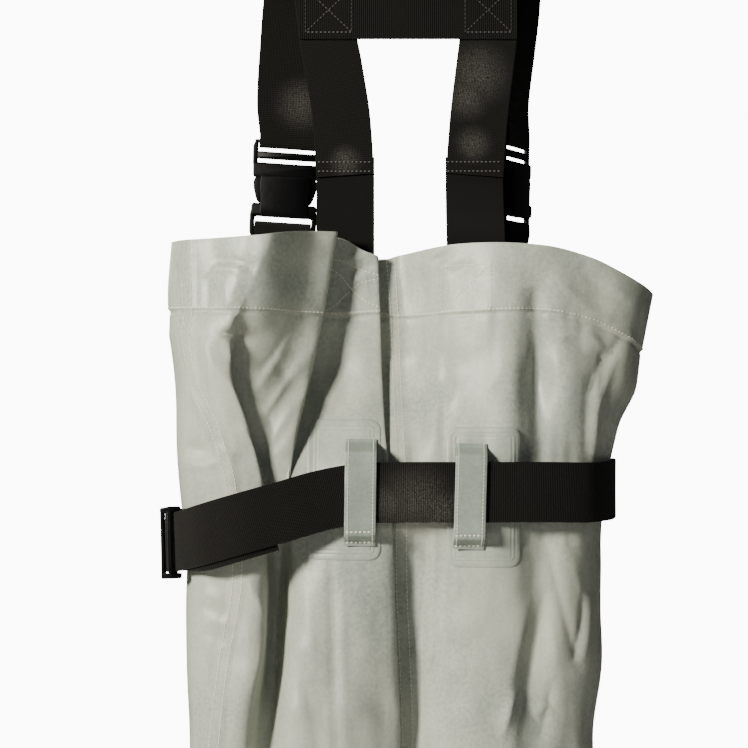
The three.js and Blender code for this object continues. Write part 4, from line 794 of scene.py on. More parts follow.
def height_at(x, down, side):
    """The height of a point: level, and drooping near the hem."""
    edge = curve(DROOP_PLACE, DROOP[side], x / HALF_WIDTH)
    hem = curve(DROOP_PLACE, DROOP["hem"], x / HALF_WIDTH)
    droop = mix(edge, hem, ease(down / HEM_SHARE)) * HEM
    return BIB_TOP - down * BODY_LENGTH + droop * (
        1 - ease((down - HEM_SHARE) / (DROOP_GONE - HEM_SHARE))
    )


BELT_HEIGHT, BELT_GATHER = 1158, 34


def dressing(x, z, down, seams, creases):
    """What stands out from the plain shape: creases, sway, gathers, the hem's band, the seams."""
    out = crease_rise(creases, x, z) + sway(x, z)
    below_hem = (down - HEM_SHARE) * BODY_LENGTH
    out += 0.35 * puckers(x, np.where(below_hem > 0, below_hem, 3 * below_hem))
    out += 0.9 * ease(-below_hem / 1.2) - 0.7 * np.exp(-(((below_hem - 1.5) / 2.2) ** 2))
    for belt_edge in (BELT_HEIGHT - BELT_GATHER, BELT_HEIGHT + BELT_GATHER):
        out += 0.3 * puckers(x + 9, np.abs(z - belt_edge))
    for place, wide in seams:
        off = np.abs(x - curve(DOWN, place, down) * HALF_WIDTH)
        out += 0.8 * (1 - ease((off - wide) / 1.6)) - 0.35 * np.exp(-(((off - wide - 3) / 2) ** 2))
    return out


# Each seam's place down the bib, and half the width of its tape
BACK_SEAMS = [(BACK_SEAM, 4.2), (LEFT_SEAM, 5.5)]
FRONT_SEAMS = [([0] * 10, 4.2)]


def lean_of(x, middle, half):
    """How far round the side a point is, from -1 to 1, and how full the tube is there."""
    side = np.clip((x - middle) / half, -1, 1)
    return side, (1 - side * side) ** (SIDE_FULLNESS / 2)


def back_point(flat, down, lift=0.0):
    """The back at a place across, before folding, and a share down; lifted off by lift."""
    flat, down = np.broadcast_arrays(np.asarray(flat, float), np.asarray(down, float))
    middle, half, back, _ = outline_at(down)
    side, full = lean_of(flat, middle, half)
    x = flat.copy()
    y = -back * full + trough_depth(BACK_TROUGHS, flat, down) * full
    for fold in LAPS:
        off = (flat - curve(DOWN, fold["place"], down) * HALF_WIDTH) / FOLD_REACH
        x -= 1.5 * curve(DOWN, fold["lap"], down) * DEEP_FOLD * off * np.exp(-off * off)
        dying = np.exp(-np.maximum(0, (off - 1) * FOLD_REACH / curve(DOWN, LAP_RETURN, down)))
        y += curve(DOWN, fold["step"], down) * DEEP_FOLD * ease((off + 1) / 2) * dying
    z = height_at(flat, down, "edge")
    turned = np.hypot(side**5, full)
    edge = curve(DOWN, SIDE_FLAP["place"], down) * HALF_WIDTH
    out = dressing(flat, z, down, BACK_SEAMS, BACK_CREASES) + flap(flat, z, edge) + lift
    return np.stack([x + out * side**5 / turned, y - out * full / turned, z], -1)


def front_point(flat, down, lift=0.0):
    """The front at a place across and a share down the bib; lifted off by lift."""
    flat, down = np.broadcast_arrays(np.asarray(flat, float), np.asarray(down, float))
    middle, half, _, front = outline_at(down)
    side, full = lean_of(flat, middle, half)
    y = (front - trough_depth(FRONT_TROUGHS, flat, down)) * full
    z = mix(height_at(flat, down, "edge"), height_at(flat, down, "front"), full)
    turned = np.hypot(side**5, full)
    out = dressing(flat, z, down, FRONT_SEAMS, FRONT_CREASES) + lift
    return np.stack([flat + out * side**5 / turned, y + out * full / turned, z], -1)


# %% [markdown]
# ## The body's mesh
#
# The lattice needs its points close together at the folds, so each row is divided between the
# folds' places, with a set number of points in each division. From the seat down, the tube parts
# into two legs across the crotch seam. The inner face is every third point set in by the
# fabric's thickness, because only its outer face is seen close up.

# %% Where the columns are
# The inner face takes every third point, so the sums up to each end and seam divide by three
LEFT_COUNT, LAP_COUNT, BETWEEN_COUNT, FLAP_COUNT, SEAM_COUNT = 41, 21, 15, 22, 6
RIGHT_COUNT, FRONT_COUNT, BRIDGE_COUNT = 93, 84, 11
ROWS = np.concatenate(
    [
        np.linspace(0, HEM_SHARE - 0.005, 20, endpoint=False),
        np.linspace(HEM_SHARE - 0.005, HEM_SHARE + 0.009, 10, endpoint=False),
        np.linspace(HEM_SHARE + 0.009, 0.72, 130, endpoint=False),
        np.linspace(0.72, 1, 33),
    ]
)


def even_turns(down, start, end, count):
    """Turns from start up to end of the outline's ellipse, an equal way along it apart."""
    _, half, back, _ = outline_at(down)
    fine = np.linspace(0, 1, 160)[None, :]
    turn = start[:, None] + (end - start)[:, None] * fine
    full = np.cos(turn * np.pi / 2).clip(0) ** SIDE_FULLNESS
    x = half[:, None] * np.sin(turn * np.pi / 2)
    step = np.hypot(np.diff(x, axis=1), np.diff(-back[:, None] * full, axis=1))
    way = np.concatenate([np.zeros((len(down), 1)), np.cumsum(step, axis=1)], axis=1)
    share = np.linspace(0, 1, count, endpoint=False)
    spots = share[None, :] * way[:, -1:]
    return np.stack([np.interp(s, w, t) for s, w, t in zip(spots, way, turn)])


def turn_of(x, middle, half):
    """How far round the side a place is: the angle whose sine it is, as a share."""
    return np.arcsin(np.clip((x - middle) / half, -1, 1)) * 2 / np.pi


def back_columns(down):
    """The places across the back of each row's points, closer together at the folds."""
    middle, half, _, _ = outline_at(down)
    marks = [middle - half]
    marks += [curve(DOWN, fold["place"], down) * HALF_WIDTH for fold in LAPS]
    marks.append(curve(DOWN, BACK_SEAM, down) * HALF_WIDTH)
    room = [np.minimum(marks[i] - marks[i - 1], marks[i + 1] - marks[i]) for i in (1, 2, 3)]
    reach = [np.minimum(2 * FOLD_REACH, 0.45 * free) for free in room]
    first = turn_of(marks[1] - reach[0], middle, half)
    left = even_turns(down, np.full(len(down), -1.0), first, LEFT_COUNT)
    spots = [middle[:, None] + half[:, None] * np.sin(left * np.pi / 2)]
    for i, count in ((1, BETWEEN_COUNT), (2, FLAP_COUNT), (3, SEAM_COUNT)):
        low, high = marks[i] - reach[i - 1], marks[i] + reach[i - 1]
        end = marks[i + 1] - (reach[i] if i < 3 else 0)
        share = np.linspace(0, 1, LAP_COUNT, endpoint=False)[None, :]
        spots.append(mix(low[:, None], high[:, None], share))
        share = np.linspace(0, 1, count, endpoint=False)[None, :]
        spots.append(mix(high[:, None], end[:, None], share))
    right = even_turns(down, turn_of(marks[4], middle, half), np.ones(len(down)), RIGHT_COUNT)
    spots.append(middle[:, None] + half[:, None] * np.sin(right * np.pi / 2))
    return np.concatenate(spots, axis=1)


SEAM_COLUMN = LEFT_COUNT + 3 * LAP_COUNT + BETWEEN_COUNT + FLAP_COUNT + SEAM_COUNT
across = back_columns(ROWS)
BACK_COUNT = across.shape[1]
middle, half, _, _ = outline_at(ROWS)
turns = (1 - np.cos(np.linspace(0, np.pi, FRONT_COUNT + 1)[:-1])) / 2
front_flat = middle[:, None] + half[:, None] * np.cos(turns * np.pi)[None, :]
down_grid = ROWS[:, None]
bib = np.concatenate([back_point(across, down_grid), front_point(front_flat, down_grid)], axis=1)
print("bib lattice", bib.shape, "seam column", SEAM_COLUMN, "back columns", BACK_COUNT)

# %% The legs
# Each leg's row is an oval that its points come to from the crotch's shape, and their angles
# even out on the way down. The fabric slumps where it is too long for the boot.
LEG_DOWN = [0, 0.16, 0.34, 0.5, 0.66, 0.8, 0.88]
LEG_CENTRE = [0.92, 0.92, 0.92, 0.93, 0.95, 0.98, 1]
LEG_WIDE = [0.455, 0.44, 0.41, 0.38, 0.365, 0.35, 0.335]
LEG_DEEP = [0.82, 0.8, 0.76, 0.73, 0.78, 0.87, 0.9]
SLUMPS = [(0.47, 0.05, -0.05), (0.62, 0.045, 0.05), (0.8, 0.04, 0.06)]
LEG_BLEND = 0.22
CUFF_LOW = BOOT_TOP - CUFF_LAP
LEG_LENGTH = CROTCH - CUFF_LOW
CUFF_GROW = CUFF_EASE + FABRIC
LEG_ROWS = np.linspace(0, 1, 76)[1:]


def leg_oval(down):
    """The leg's centre, half width and half depth, easing into the straight cuff at its end."""
    slump = sum(out * np.exp(-(((down - at) / tall) ** 2)) for at, tall, out in SLUMPS)
    centre = curve(LEG_DOWN, LEG_CENTRE, down) * BOOT_X
    wide = curve(LEG_DOWN, LEG_WIDE, down) * HALF_WIDTH * (1 + slump)
    deep = curve(LEG_DOWN, LEG_DEEP, down) * HALF_DEPTH * (1 + slump)
    cuff = ease((down - 0.85) / (1 - (BOOT_TOP + BOOT_WALL - CUFF_LOW) / LEG_LENGTH - 0.85))
    return (
        mix(centre, BOOT_X, cuff),
        mix(wide, SHAFT_WIDTH / 2 + CUFF_GROW, cuff),
        mix(deep, SHAFT_DEPTH / 2 + CUFF_GROW, cuff),
        cuff,
    )


def leg(top, side):
    """The rows of a leg below its top ring, as an array of rows, columns and x, y, z."""
    wide, deep = LEG_WIDE[0] * HALF_WIDTH, LEG_DEEP[0] * HALF_DEPTH
    centre = LEG_CENTRE[0] * BOOT_X
    angle = np.unwrap(np.arctan2(top[:, 1] / deep, (top[:, 0] - side * centre) / wide))
    count = len(top)
    even = angle[0] + np.sign(angle[-1] - angle[0]) * np.arange(count) / count * 2 * np.pi
    down = LEG_ROWS[:, None]
    centre, wide, deep, cuff = leg_oval(down)
    turned = mix(angle[None, :], even[None, :], ease(down / 0.6))
    z = CROTCH - down * LEG_LENGTH
    slack = (1 - cuff) * ease(down / 0.15)
    wrinkle = 1.3 * np.sin(z / 13 + 2.2 * np.sin(turned + side) + 3 * np.sin(2 * turned))
    wrinkle += 1.1 * np.sin(z / 29 + 1.6 * np.cos(turned * 2 + side))
    slumped = ease((down - 0.35) / 0.3)
    out = slack * (wrinkle * (0.35 + 0.9 * slumped) + sway(turned * 62 + side * 40, z))
    out += 0.9 * np.exp(-(((z - CUFF_LOW - 4) / 3) ** 2))
    out += 0.7 * np.exp(-(((z - CUFF_LOW - 28) / 2.2) ** 2))
    x = side * centre + (wide + out) * np.cos(turned)
    oval = np.stack([x, (deep + out) * np.sin(turned), z + 0 * turned], -1)
    above = np.broadcast_to(top[None, :, :], oval.shape).copy()
    above[..., 2] = z
    return mix(above, oval, ease(down / LEG_BLEND)[..., None])


seat_row = bib[-1]
front_column = BACK_COUNT + FRONT_COUNT // 2
share = (np.arange(1, BRIDGE_COUNT + 1) / (BRIDGE_COUNT + 1))[:, None]
bridge = mix(seat_row[SEAM_COLUMN], seat_row[front_column], share)
left_top = np.concatenate([seat_row[: SEAM_COLUMN + 1], bridge, seat_row[front_column:]])
right_top = np.concatenate([seat_row[SEAM_COLUMN : front_column + 1], bridge[::-1]])
left_leg, right_leg = leg(left_top, -1), leg(right_top, 1)
print("leg columns", len(left_top), len(right_top))


# %% The body's faces
def band(upper, lower):
    """The cells between two rings of point numbers of equal count."""
    return np.stack([upper, lower, np.roll(lower, -1), np.roll(upper, -1)], -1)


def tube(rows):
    """The cells between each ring of point numbers and the next."""
    return np.concatenate([band(rows[i], rows[i + 1]) for i in range(len(rows) - 1)])


def shell_numbers(bib_shape, leg_rows, seam, front, bridges, start):
    """Numbers the points of a face of the body: the bib, the bridge, then the two legs."""
    rows, columns = bib_shape
    numbers = start + np.arange(rows * columns).reshape(rows, columns)
    cross = start + rows * columns + np.arange(bridges)
    fork = numbers[-1]
    tops = [
        np.concatenate([fork[: seam + 1], cross, fork[front:]]),
        np.concatenate([fork[seam : front + 1], cross[::-1]]),
    ]
    first = start + rows * columns + bridges
    faces, hems = [tube(numbers)], []
    for top in tops:
        below = first + np.arange(leg_rows * len(top)).reshape(leg_rows, len(top))
        first += below.size
        faces.append(tube(np.concatenate([top[None, :], below])))
        hems.append(below[-1])
    return np.concatenate(faces), numbers[0], hems, first


def normals_of(points, faces):
    """Each point's way outwards: the sum of the cross products of its cells' diagonals."""
    a, b, c, d = (points[faces[:, k]] for k in range(4))
    cross = np.cross(c - a, d - b)
    total = np.zeros_like(points)
    for k in range(4):
        for axis in range(3):
            total[:, axis] += np.bincount(faces[:, k], cross[:, axis], len(points))
    return total / np.linalg.norm(total, axis=1, keepdims=True).clip(1e-9)


def rim(fine, coarse):
    """A strip between a ring and another with a third of its points."""
    after, next_ = np.roll(fine, -1), np.roll(coarse, -1)
    a, b, c, d = fine[0::3], fine[1::3], fine[2::3], np.roll(fine[0::3], -1)
    return [
        np.stack([a, b, coarse], -1),
        np.stack([b, c, coarse], -1),
        np.stack([c, next_, coarse], -1),
        np.stack([c, d, next_], -1),
    ]


outer = np.concatenate(
    [bib.reshape(-1, 3), bridge, left_leg.reshape(-1, 3), right_leg.reshape(-1, 3)]
)
outer_faces, hem_ring, cuff_rings, outer_count = shell_numbers(
    bib.shape[:2], len(LEG_ROWS), SEAM_COLUMN, front_column, BRIDGE_COUNT, 0
)
ways = normals_of(outer, outer_faces)
if (ways[:, 1] * outer[:, 1]).sum() < 0:
    ways = -ways
bib_ways = ways[: bib[..., 0].size].reshape(bib.shape)
left_ways = ways[bib[..., 0].size + BRIDGE_COUNT :][: left_leg[..., 0].size]
right_ways = ways[bib[..., 0].size + BRIDGE_COUNT + left_leg[..., 0].size :]
left_ways, right_ways = left_ways.reshape(left_leg.shape), right_ways.reshape(right_leg.shape)
bridge_ways = ways[bib[..., 0].size :][:BRIDGE_COUNT]
wall = np.where(ROWS[::3] < HEM_SHARE, 2 * FABRIC, FABRIC)[:, None, None]
inner_bib = bib[::3, ::3] - bib_ways[::3, ::3] * wall
inner_bridge = bridge[2::3] - bridge_ways[2::3] * FABRIC
inner_left = left_leg[2::3, ::3] - left_ways[2::3, ::3] * FABRIC
inner_right = right_leg[2::3, ::3] - right_ways[2::3, ::3] * FABRIC
inner = np.concatenate(
    [inner_bib.reshape(-1, 3), inner_bridge, inner_left.reshape(-1, 3), inner_right.reshape(-1, 3)]
)
inner_faces, inner_hem, inner_cuffs, _ = shell_numbers(
    inner_bib.shape[:2],
    len(inner_left),
    SEAM_COLUMN // 3,
    front_column // 3,
    len(inner_bridge),
    outer_count,
)
strips = rim(hem_ring, inner_hem)
for fine, coarse in zip(cuff_rings, inner_cuffs):
    strips += [strip[:, ::-1] for strip in rim(fine, coarse)]
body_faces = [outer_faces, inner_faces[:, ::-1], *[strip[:, ::-1] for strip in strips]]
body_points, body_faces = outward(np.concatenate([outer, inner]) + SHIFT, body_faces)
body_part = (body_points, body_faces)
piece("coated_nylon_body", [body_part], nylon, ["wader_body"], sharp=60)

# %% [markdown]
# ## Where the back's outer face lies
#
# Patches and loops lie on the back, so they need its depth at a given x and z. The bib's cells
# are divided finely and dropped on a grid of 1 mm, which keeps the outermost of folded layers.

# %% A map of the back's depth
MAP_X, MAP_Z, MAP_WIDE, MAP_TALL = -220, 860, 460, 540


def finer(sheet, axis, count=4):
    """The sheet with count - 1 more points between each two along an axis."""
    sheet = np.moveaxis(sheet, axis, 0)
    parts = [mix(sheet[:-1], sheet[1:], k / count) for k in range(count)]
    return np.moveaxis(np.stack(parts, 1).reshape(-1, *sheet.shape[1:]), 0, axis)


def nearby(sheet, reach):
    """The sheet shifted by every whole step up to reach in both directions."""
    steps = range(-reach, reach + 1)
    return np.stack([np.roll(sheet, (i, k), (0, 1)) for i in steps for k in steps])


spots = finer(finer(bib[:, : BACK_COUNT + 1], 0), 1).reshape(-1, 3)
column = np.clip((spots[:, 0] - MAP_X).astype(int), 0, MAP_WIDE - 1)
row = np.clip((spots[:, 2] - MAP_Z).astype(int), 0, MAP_TALL - 1)
near_map = np.full((MAP_WIDE, MAP_TALL), np.inf)
inside = spots[:, 2] > MAP_Z
np.minimum.at(near_map, (column[inside], row[inside]), spots[inside, 1])
for _ in range(3):
    near_map = np.where(np.isinf(near_map), nearby(near_map, 1).min(0), near_map)
near_map[np.isinf(near_map)] = 0
soft_map = np.minimum(nearby(near_map, 3).mean(0), near_map + 0.5)


def back_y(x, z, sheet=near_map):
    """The back's y at x and z: the map's four nearest values, weighed by nearness."""
    a = np.clip(np.asarray(x, float) - MAP_X - 0.5, 0, MAP_WIDE - 2)
    b = np.clip(np.asarray(z, float) - MAP_Z - 0.5, 0, MAP_TALL - 2)
    i, k = a.astype(int), b.astype(int)
    low = mix(sheet[i, k], sheet[i + 1, k], a - i)
    high = mix(sheet[i, k + 1], sheet[i + 1, k + 1], a - i)
    return mix(low, high, b - k)


print("back's depth from", near_map.min().round(1), "to", near_map.max().round(1))

# %% [markdown]
# ## Stitches
#
# The hem, the seams, and the boxes that hold the webbing are sewn with pale polyester thread. A
# row of stitches is one object: each stitch is a box of 12 triangles that lies along the row and
# dips at both ends into its needle holes. A curve with a bevel would carry far more triangles.

# %% Rows of stitches
STITCH, STITCH_GAP, THREAD_WIDE = 2.5, 1.1, 0.75


def unit(rows):
    """The vectors with length 1."""
    return rows / np.linalg.norm(rows, axis=-1, keepdims=True).clip(1e-9)


def way_along(spots):
    """How far along a line each of its points is: the sum of the steps up to it."""
    return np.concatenate([[0], np.cumsum(np.linalg.norm(np.diff(spots, axis=0), axis=1))])


def stitch_row(spots, ways, pitch=STITCH + STITCH_GAP, wide=THREAD_WIDE):
    """One box for each stitch: its ends lie on the row, its middle stands out along ways."""
    spots, ways = np.asarray(spots, float), np.asarray(ways, float)
    away = way_along(spots)
    count = max(1, int(away[-1] / pitch))
    start = np.arange(count) * pitch
    length = pitch * STITCH / (STITCH + STITCH_GAP)
    ends = []
    for share in (0.0, 0.5, 1.0):
        at = start + share * length
        spot = np.stack([np.interp(at, away, spots[:, k]) for k in range(3)], -1)
        way = unit(np.stack([np.interp(at, away, ways[:, k]) for k in range(3)], -1))
        ends.append((spot, way))
    run = unit(ends[2][0] - ends[0][0])
    points = []
    for share, (spot, way) in zip((0.0, 1.0, 0.0), ends):
        side = unit(np.cross(run, way)) * wide / 2
        for across, rise in ((-1, -0.3), (1, -0.3), (1, 0.12 + 0.4 * share), (-1, 0.12 + 0.4 * share)):
            points.append(spot + across * side + rise * way)
    points = np.stack(points, 1)
    ring = np.array([[0, 1, 2, 3], [4, 5, 6, 7], [8, 9, 10, 11]])
    sides = [band(ring[i], ring[i + 1]) for i in (0, 1)]
    cell = np.concatenate([*sides, ring[:1][:, ::-1], ring[2:]])
    faces = (cell[None] + 12 * np.arange(count)[:, None, None]).reshape(-1, 4)
    return points.reshape(-1, 3) + SHIFT, [faces]


def row_on(point, flat, down):
    """A row of stitches on the back or the front, at places across and shares down."""
    spots = point(flat, down, 0.05)
    return stitch_row(spots, point(flat, down, 1.05) - spots)


def whole_row(down):
    """The places across of a row from one edge of the body to the other."""
    middle, half, _, _ = outline_at(down)
    turn = np.linspace(-0.995, 0.995, 1800)
    return middle + half * np.sin(turn * np.pi / 2)


HEM_STITCH = HEM_SHARE - 2.2 / BODY_LENGTH
seam_down = np.linspace(0.002, 0.998, 1500)
body_rows = [
    row_on(back_point, whole_row(HEM_STITCH), HEM_STITCH),
    row_on(front_point, whole_row(HEM_STITCH), HEM_STITCH),
]
for point, seams in ((back_point, BACK_SEAMS), (front_point, FRONT_SEAMS)):
    for place, wide in seams:
        for side in (-1, 1):
            flat = curve(DOWN, place, seam_down) * HALF_WIDTH + side * (wide - 1.6)
            body_rows.append(row_on(point, flat, seam_down))

# Each back webbing is held by a sewn box with a cross in it, which shows outside the hem
BOX_WIDE, BOX_TALL, BOX_HEIGHT = 41, 34, 1326
for centre in (-40.7, 55.7):
    x = centre + BOX_WIDE / 2 * np.array([-1, 1, 1, -1, -1, 1, np.nan, -1, 1])
    z = BOX_HEIGHT + BOX_TALL / 2 * np.array([-1, -1, 1, 1, -1, 1, np.nan, 1, -1])
    for start, end in ((0, 6), (7, 9)):
        t = np.linspace(0, end - start - 1, 500)
        flat = np.interp(t, np.arange(end - start), x[start:end])
        down = (BIB_TOP - np.interp(t, np.arange(end - start), z[start:end])) / BODY_LENGTH
        body_rows.append(row_on(back_point, flat, down))
piece("body_stitches", body_rows, thread)

# %% [markdown]
# ## Patches under the belt loops
#
# A loop would tear the coated cloth if it were sewn to it, so each is sewn to a patch that is
# welded on with a hot die. The die leaves two embossed lines round the patch's edge. The patch is
# a sheet on the back's map, whose thickness carries the lines and thins out to the edge.

# %% Welded patches
PATCH_WIDE, PATCH_TALL, PATCH_CORNER, PATCH_THICK = 62, 117, 9, 0.7
# Each loop's side, its place across and its rise over the belt's height, then its patch's
LOOPS = [("left", -0.165, 0, -0.235, 2), ("right", 0.29, -3, 0.35, -4)]


def inside_edge(x, z, wide, tall, corner):
    """How far inside a rectangle with round corners a point lies."""
    qx, qz = np.abs(x) - wide / 2 + corner, np.abs(z) - tall / 2 + corner
    far = np.hypot(np.maximum(qx, 0), np.maximum(qz, 0)) + np.minimum(np.maximum(qx, qz), 0)
    return corner - far


def patch_sheet(centre_x, centre_z):
    """A closed sheet: rows from the foot up, each going across the outside and back inside."""
    z = np.linspace(-PATCH_TALL / 2, PATCH_TALL / 2, 140)[:, None]
    end = np.clip(PATCH_CORNER - (PATCH_TALL / 2 - np.abs(z)), 0, None)
    half = PATCH_WIDE / 2 - PATCH_CORNER + np.sqrt(PATCH_CORNER**2 - end**2)
    x = half * np.linspace(-1, 1, 78)[None, :]
    z = z + 0 * x
    depth = inside_edge(x, z, PATCH_WIDE, PATCH_TALL, PATCH_CORNER)
    thick = PATCH_THICK * ease(0.25 + depth / 1.6)
    for line in (5.0, 8.2):
        thick = thick - 0.3 * np.exp(-(((depth - line) / 0.6) ** 2))
        thick = thick + 0.14 * np.exp(-(((depth - line - 1.2) / 0.7) ** 2))
    y = back_y(x + centre_x, z + centre_z, soft_map)
    rows = [(y - 0.25 - thick, slice(None)), (y + 0.5, slice(None, None, -1))]
    sheets = [np.stack([x + centre_x, face, z + centre_z], -1)[:, way] for face, way in rows]
    ring = np.concatenate(sheets, axis=1)
    return outward(ring.reshape(-1, 3) + SHIFT, capped(*ring.shape[:2]))


for side, _, _, x, z in LOOPS:
    sheet = patch_sheet(x * HALF_WIDTH, BELT_HEIGHT + z)
    piece(f"patch_{side}", [sheet], patch_nylon, [f"loop_patch_{side}"])

# %% [markdown]
# ## Straps in general
#
# Webbing, elastic and the belt loops are flat tapes that bend along their length only. Each is a
# section of 16 points swept along a smooth line, with its own direction of width at each step.
# The real edge is thinner and rounder than the middle, and so is the section's.

# %% A tape along a line
WEBBING, WEBBING_THICK, BAR, BAR_THICK, TURNED_BACK = 50, 2, 5, 4, 32


def tape(stations, across, wide, thick, step=1.5, cup=0.0):
    """A tape through stations: a spline gives each step's place, its cross product its face."""
    stations, across = np.asarray(stations, float), np.asarray(across, float)
    away = way_along(stations)
    at = np.linspace(0, away[-1], int(away[-1] / step) + 2)
    middle = curve(away, stations, at)
    side = unit(curve(away, across, at))
    way = unit(np.gradient(middle, axis=0))
    face = unit(np.cross(way, side))
    side = np.cross(face, way)
    half = wide / 2
    s = np.array([-half, 0.6 - half, -0.6 * half, -0.2 * half])
    s = np.concatenate([s, -s[::-1]])
    f = np.array([0.22, 0.46, 0.5, 0.5, 0.5, 0.5, 0.46, 0.22]) * thick
    bow = cup * ((s / half) ** 2 - 0.5)
    s, f = np.concatenate([s, s[::-1]]), np.concatenate([bow + f, (bow - f)[::-1]])
    points = middle[:, None] + side[:, None] * s[:, None] + face[:, None] * f[:, None]
    uv = np.stack(np.broadcast_arrays(at[:, None], s[None, :]), -1).reshape(-1, 2)
    return outward(points.reshape(-1, 3) + SHIFT, capped(*points.shape[:2])), uv


def tape_rows(stations, across, places, lift, pitch):
    """Rows of stitches along a tape: each a place across it, at a height above its middle."""
    stations, across = np.asarray(stations, float), unit(np.asarray(across, float))
    away = way_along(stations)
    at = np.linspace(0, away[-1], 600)
    middle, side = curve(away, stations, at), unit(curve(away, across, at))
    face = unit(np.cross(unit(np.gradient(middle, axis=0)), side)) * np.sign(lift)
    return [stitch_row(middle + side * s + face * abs(lift), face, pitch) for s in places]


def box_rows(centre, along, across, face, long, wide):
    """A sewn box with a cross in it, on a flat stretch of tape."""
    corners = np.array([[-1, -1], [1, -1], [1, 1], [-1, 1], [-1, -1], [1, 1]])
    rows = []
    for shape in (corners, np.array([[-1, 1], [1, -1]])):
        t = np.linspace(0, len(shape) - 1, 300)
        u, v = (np.interp(t, np.arange(len(shape)), shape[:, k]) / 2 for k in (0, 1))
        spots = centre + np.outer(u * long, along) + np.outer(v * wide, across)
        rows.append(stitch_row(spots, np.broadcast_to(face, spots.shape)))
    return rows


# %% [markdown]
# ## The belt
#
# The belt hangs from two loops and slips down at the left, where its slide is. Its line is a
# closed spline through places round the body, the same as the CAD model's. It passes over the
# bars of its buckle in front, and its spare end lies doubled behind it from the slide on.

# %% The belt's line
BELT_SAG, LOOP_WIDTH, LOOP_THICK, LOOP_LENGTH = 46, 26, 1.6, 88
BELT_PLAN = np.array(
    [
        (0.93, -0.12, 0),
        (0.885, -0.55, 0),
        (0.78, -0.86, 0),
        (0.6, -1.0, -0.02),
        (0.3, -1.04, -0.02),
        (0, -1.05, -0.02),
        (-0.16, -1.05, 0),
        (-0.32, -1.07, 0.12),
        (-0.5, -1.11, 0.34),
        (-0.68, -1.1, 0.56),
        (-0.84, -0.92, 0.78),
        (-0.945, -0.55, 0.94),
        (-1.0, -0.12, 1.02),
        (-1.01, 0.3, 1.02),
        (-0.92, 0.72, 0.98),
        (-0.72, 0.95, 0.9),
        (-0.4, 1.03, 0.76),
        (0, 1.05, 0.55),
        (0.4, 1.03, 0.32),
        (0.7, 0.93, 0.12),
        (0.87, 0.66, 0.03),
        (0.935, 0.28, 0),
    ]
)
belt_points = BELT_PLAN * (HALF_WIDTH, HALF_DEPTH, -BELT_SAG) + (0, 0, BELT_HEIGHT)


def closed_spline(points, count=60):
    """A centripetal Catmull-Rom spline through points and back to the first."""
    p = [np.roll(points, 1 - k, axis=0) for k in range(4)]
    gap = [np.linalg.norm(p[k + 1] - p[k], axis=1, keepdims=True) ** 0.5 for k in range(3)]
    a = (p[1] - p[0]) / gap[0] - (p[2] - p[0]) / (gap[0] + gap[1]) + (p[2] - p[1]) / gap[1]
    b = (p[2] - p[1]) / gap[1] - (p[3] - p[1]) / (gap[1] + gap[2]) + (p[3] - p[2]) / gap[2]
    a, b = a * gap[1], b * gap[1]
    t = (np.arange(count) / count)[None, :, None]
    one, two, a, b = (n[:, None, :] for n in (p[1], p[2], a, b))
    bend = (2 * one - 2 * two + a + b) * t**3 + (3 * two - 3 * one - 2 * a - b) * t**2
    return (bend + a * t + one).reshape(-1, 3)


belt_line = closed_spline(belt_points)
belt_line = np.concatenate([belt_line, belt_line[:1]])
belt_away = way_along(belt_line)
belt_length = belt_away[-1]


def belt_place(away):
    """The points on the belt's line at distances along it."""
    away = away % belt_length
    return np.stack([np.interp(away, belt_away, belt_line[:, k]) for k in range(3)], -1)


def belt_at(away):
    """Places on the belt: the point, the way it runs, the way out, and the way across."""
    away = np.asarray(away, float)
    way = unit(belt_place(away + 2) - belt_place(away - 2))
    level = np.stack([-way[..., 1], way[..., 0], 0 * way[..., 0]], -1)
    out = unit(level)
    return belt_place(away), way, out, unit(np.cross(out, way))


def belt_near(x, y):
    """How far along the belt it comes nearest to a place in plan."""
    return belt_away[np.argmin(np.hypot(belt_line[:, 0] - x, belt_line[:, 1] - y))]


def round_bar(frame, bar_x, slot_side, start):
    """Stations of webbing that passes a bar, turns round it through its slot, and comes back."""
    at, way, out, across = frame
    off = BAR_THICK / 2 + GAP + WEBBING_THICK / 2
    end = bar_x - slot_side * (BAR / 2 + TURNED_BACK)
    edge = bar_x + slot_side * BAR / 2
    angle = np.linspace(np.pi / 2, -np.pi / 2, 13)
    close = off - WEBBING_THICK - GAP
    x = [bar_x - slot_side * BAR, *(edge + slot_side * off * np.cos(angle))]
    x += [bar_x - slot_side * BAR, mix(end, bar_x, 0.5), end]
    z = [off, *(off * np.sin(angle)), -off, mix(close, -off, 0.3), close]
    spots = at + np.outer(x, way) + start * np.outer(z, out)
    return spots, np.broadcast_to(across, spots.shape)


# %% The belt and its doubled end
HALF_BUCKLE, SLIDE_LENGTH, BELT_TAIL = 44, 34, 120
PLUG_BAR, SOCKET_BAR = 0.9 - HALF_BUCKLE, HALF_BUCKLE - 8.7
buckle_away = belt_near(0, HALF_DEPTH)
slide_away = belt_near(-HALF_WIDTH * 0.97, -HALF_DEPTH * 0.36)
at, way, out, across = belt_at(buckle_away)
belt_buckle = (at + out * (BAR_THICK / 2 + GAP + WEBBING_THICK / 2), way, out, across)
clear = HALF_BUCKLE + BAR
run = belt_at(buckle_away + np.linspace(clear, belt_length - clear, 260))
start_spots, start_across = round_bar(belt_buckle, SOCKET_BAR, -1, -1)
end_spots, end_across = round_bar(belt_buckle, PLUG_BAR, 1, -1)
belt_spots = np.concatenate([start_spots[::-1], run[0], end_spots])
belt_across = np.concatenate([start_across[::-1], run[3], end_across])
belt_part, belt_uv = tape(belt_spots, belt_across, WEBBING, WEBBING_THICK, 1.6, 0.25)
piece("webbing_belt", [belt_part], belt_web, ["belt"], belt_uv)

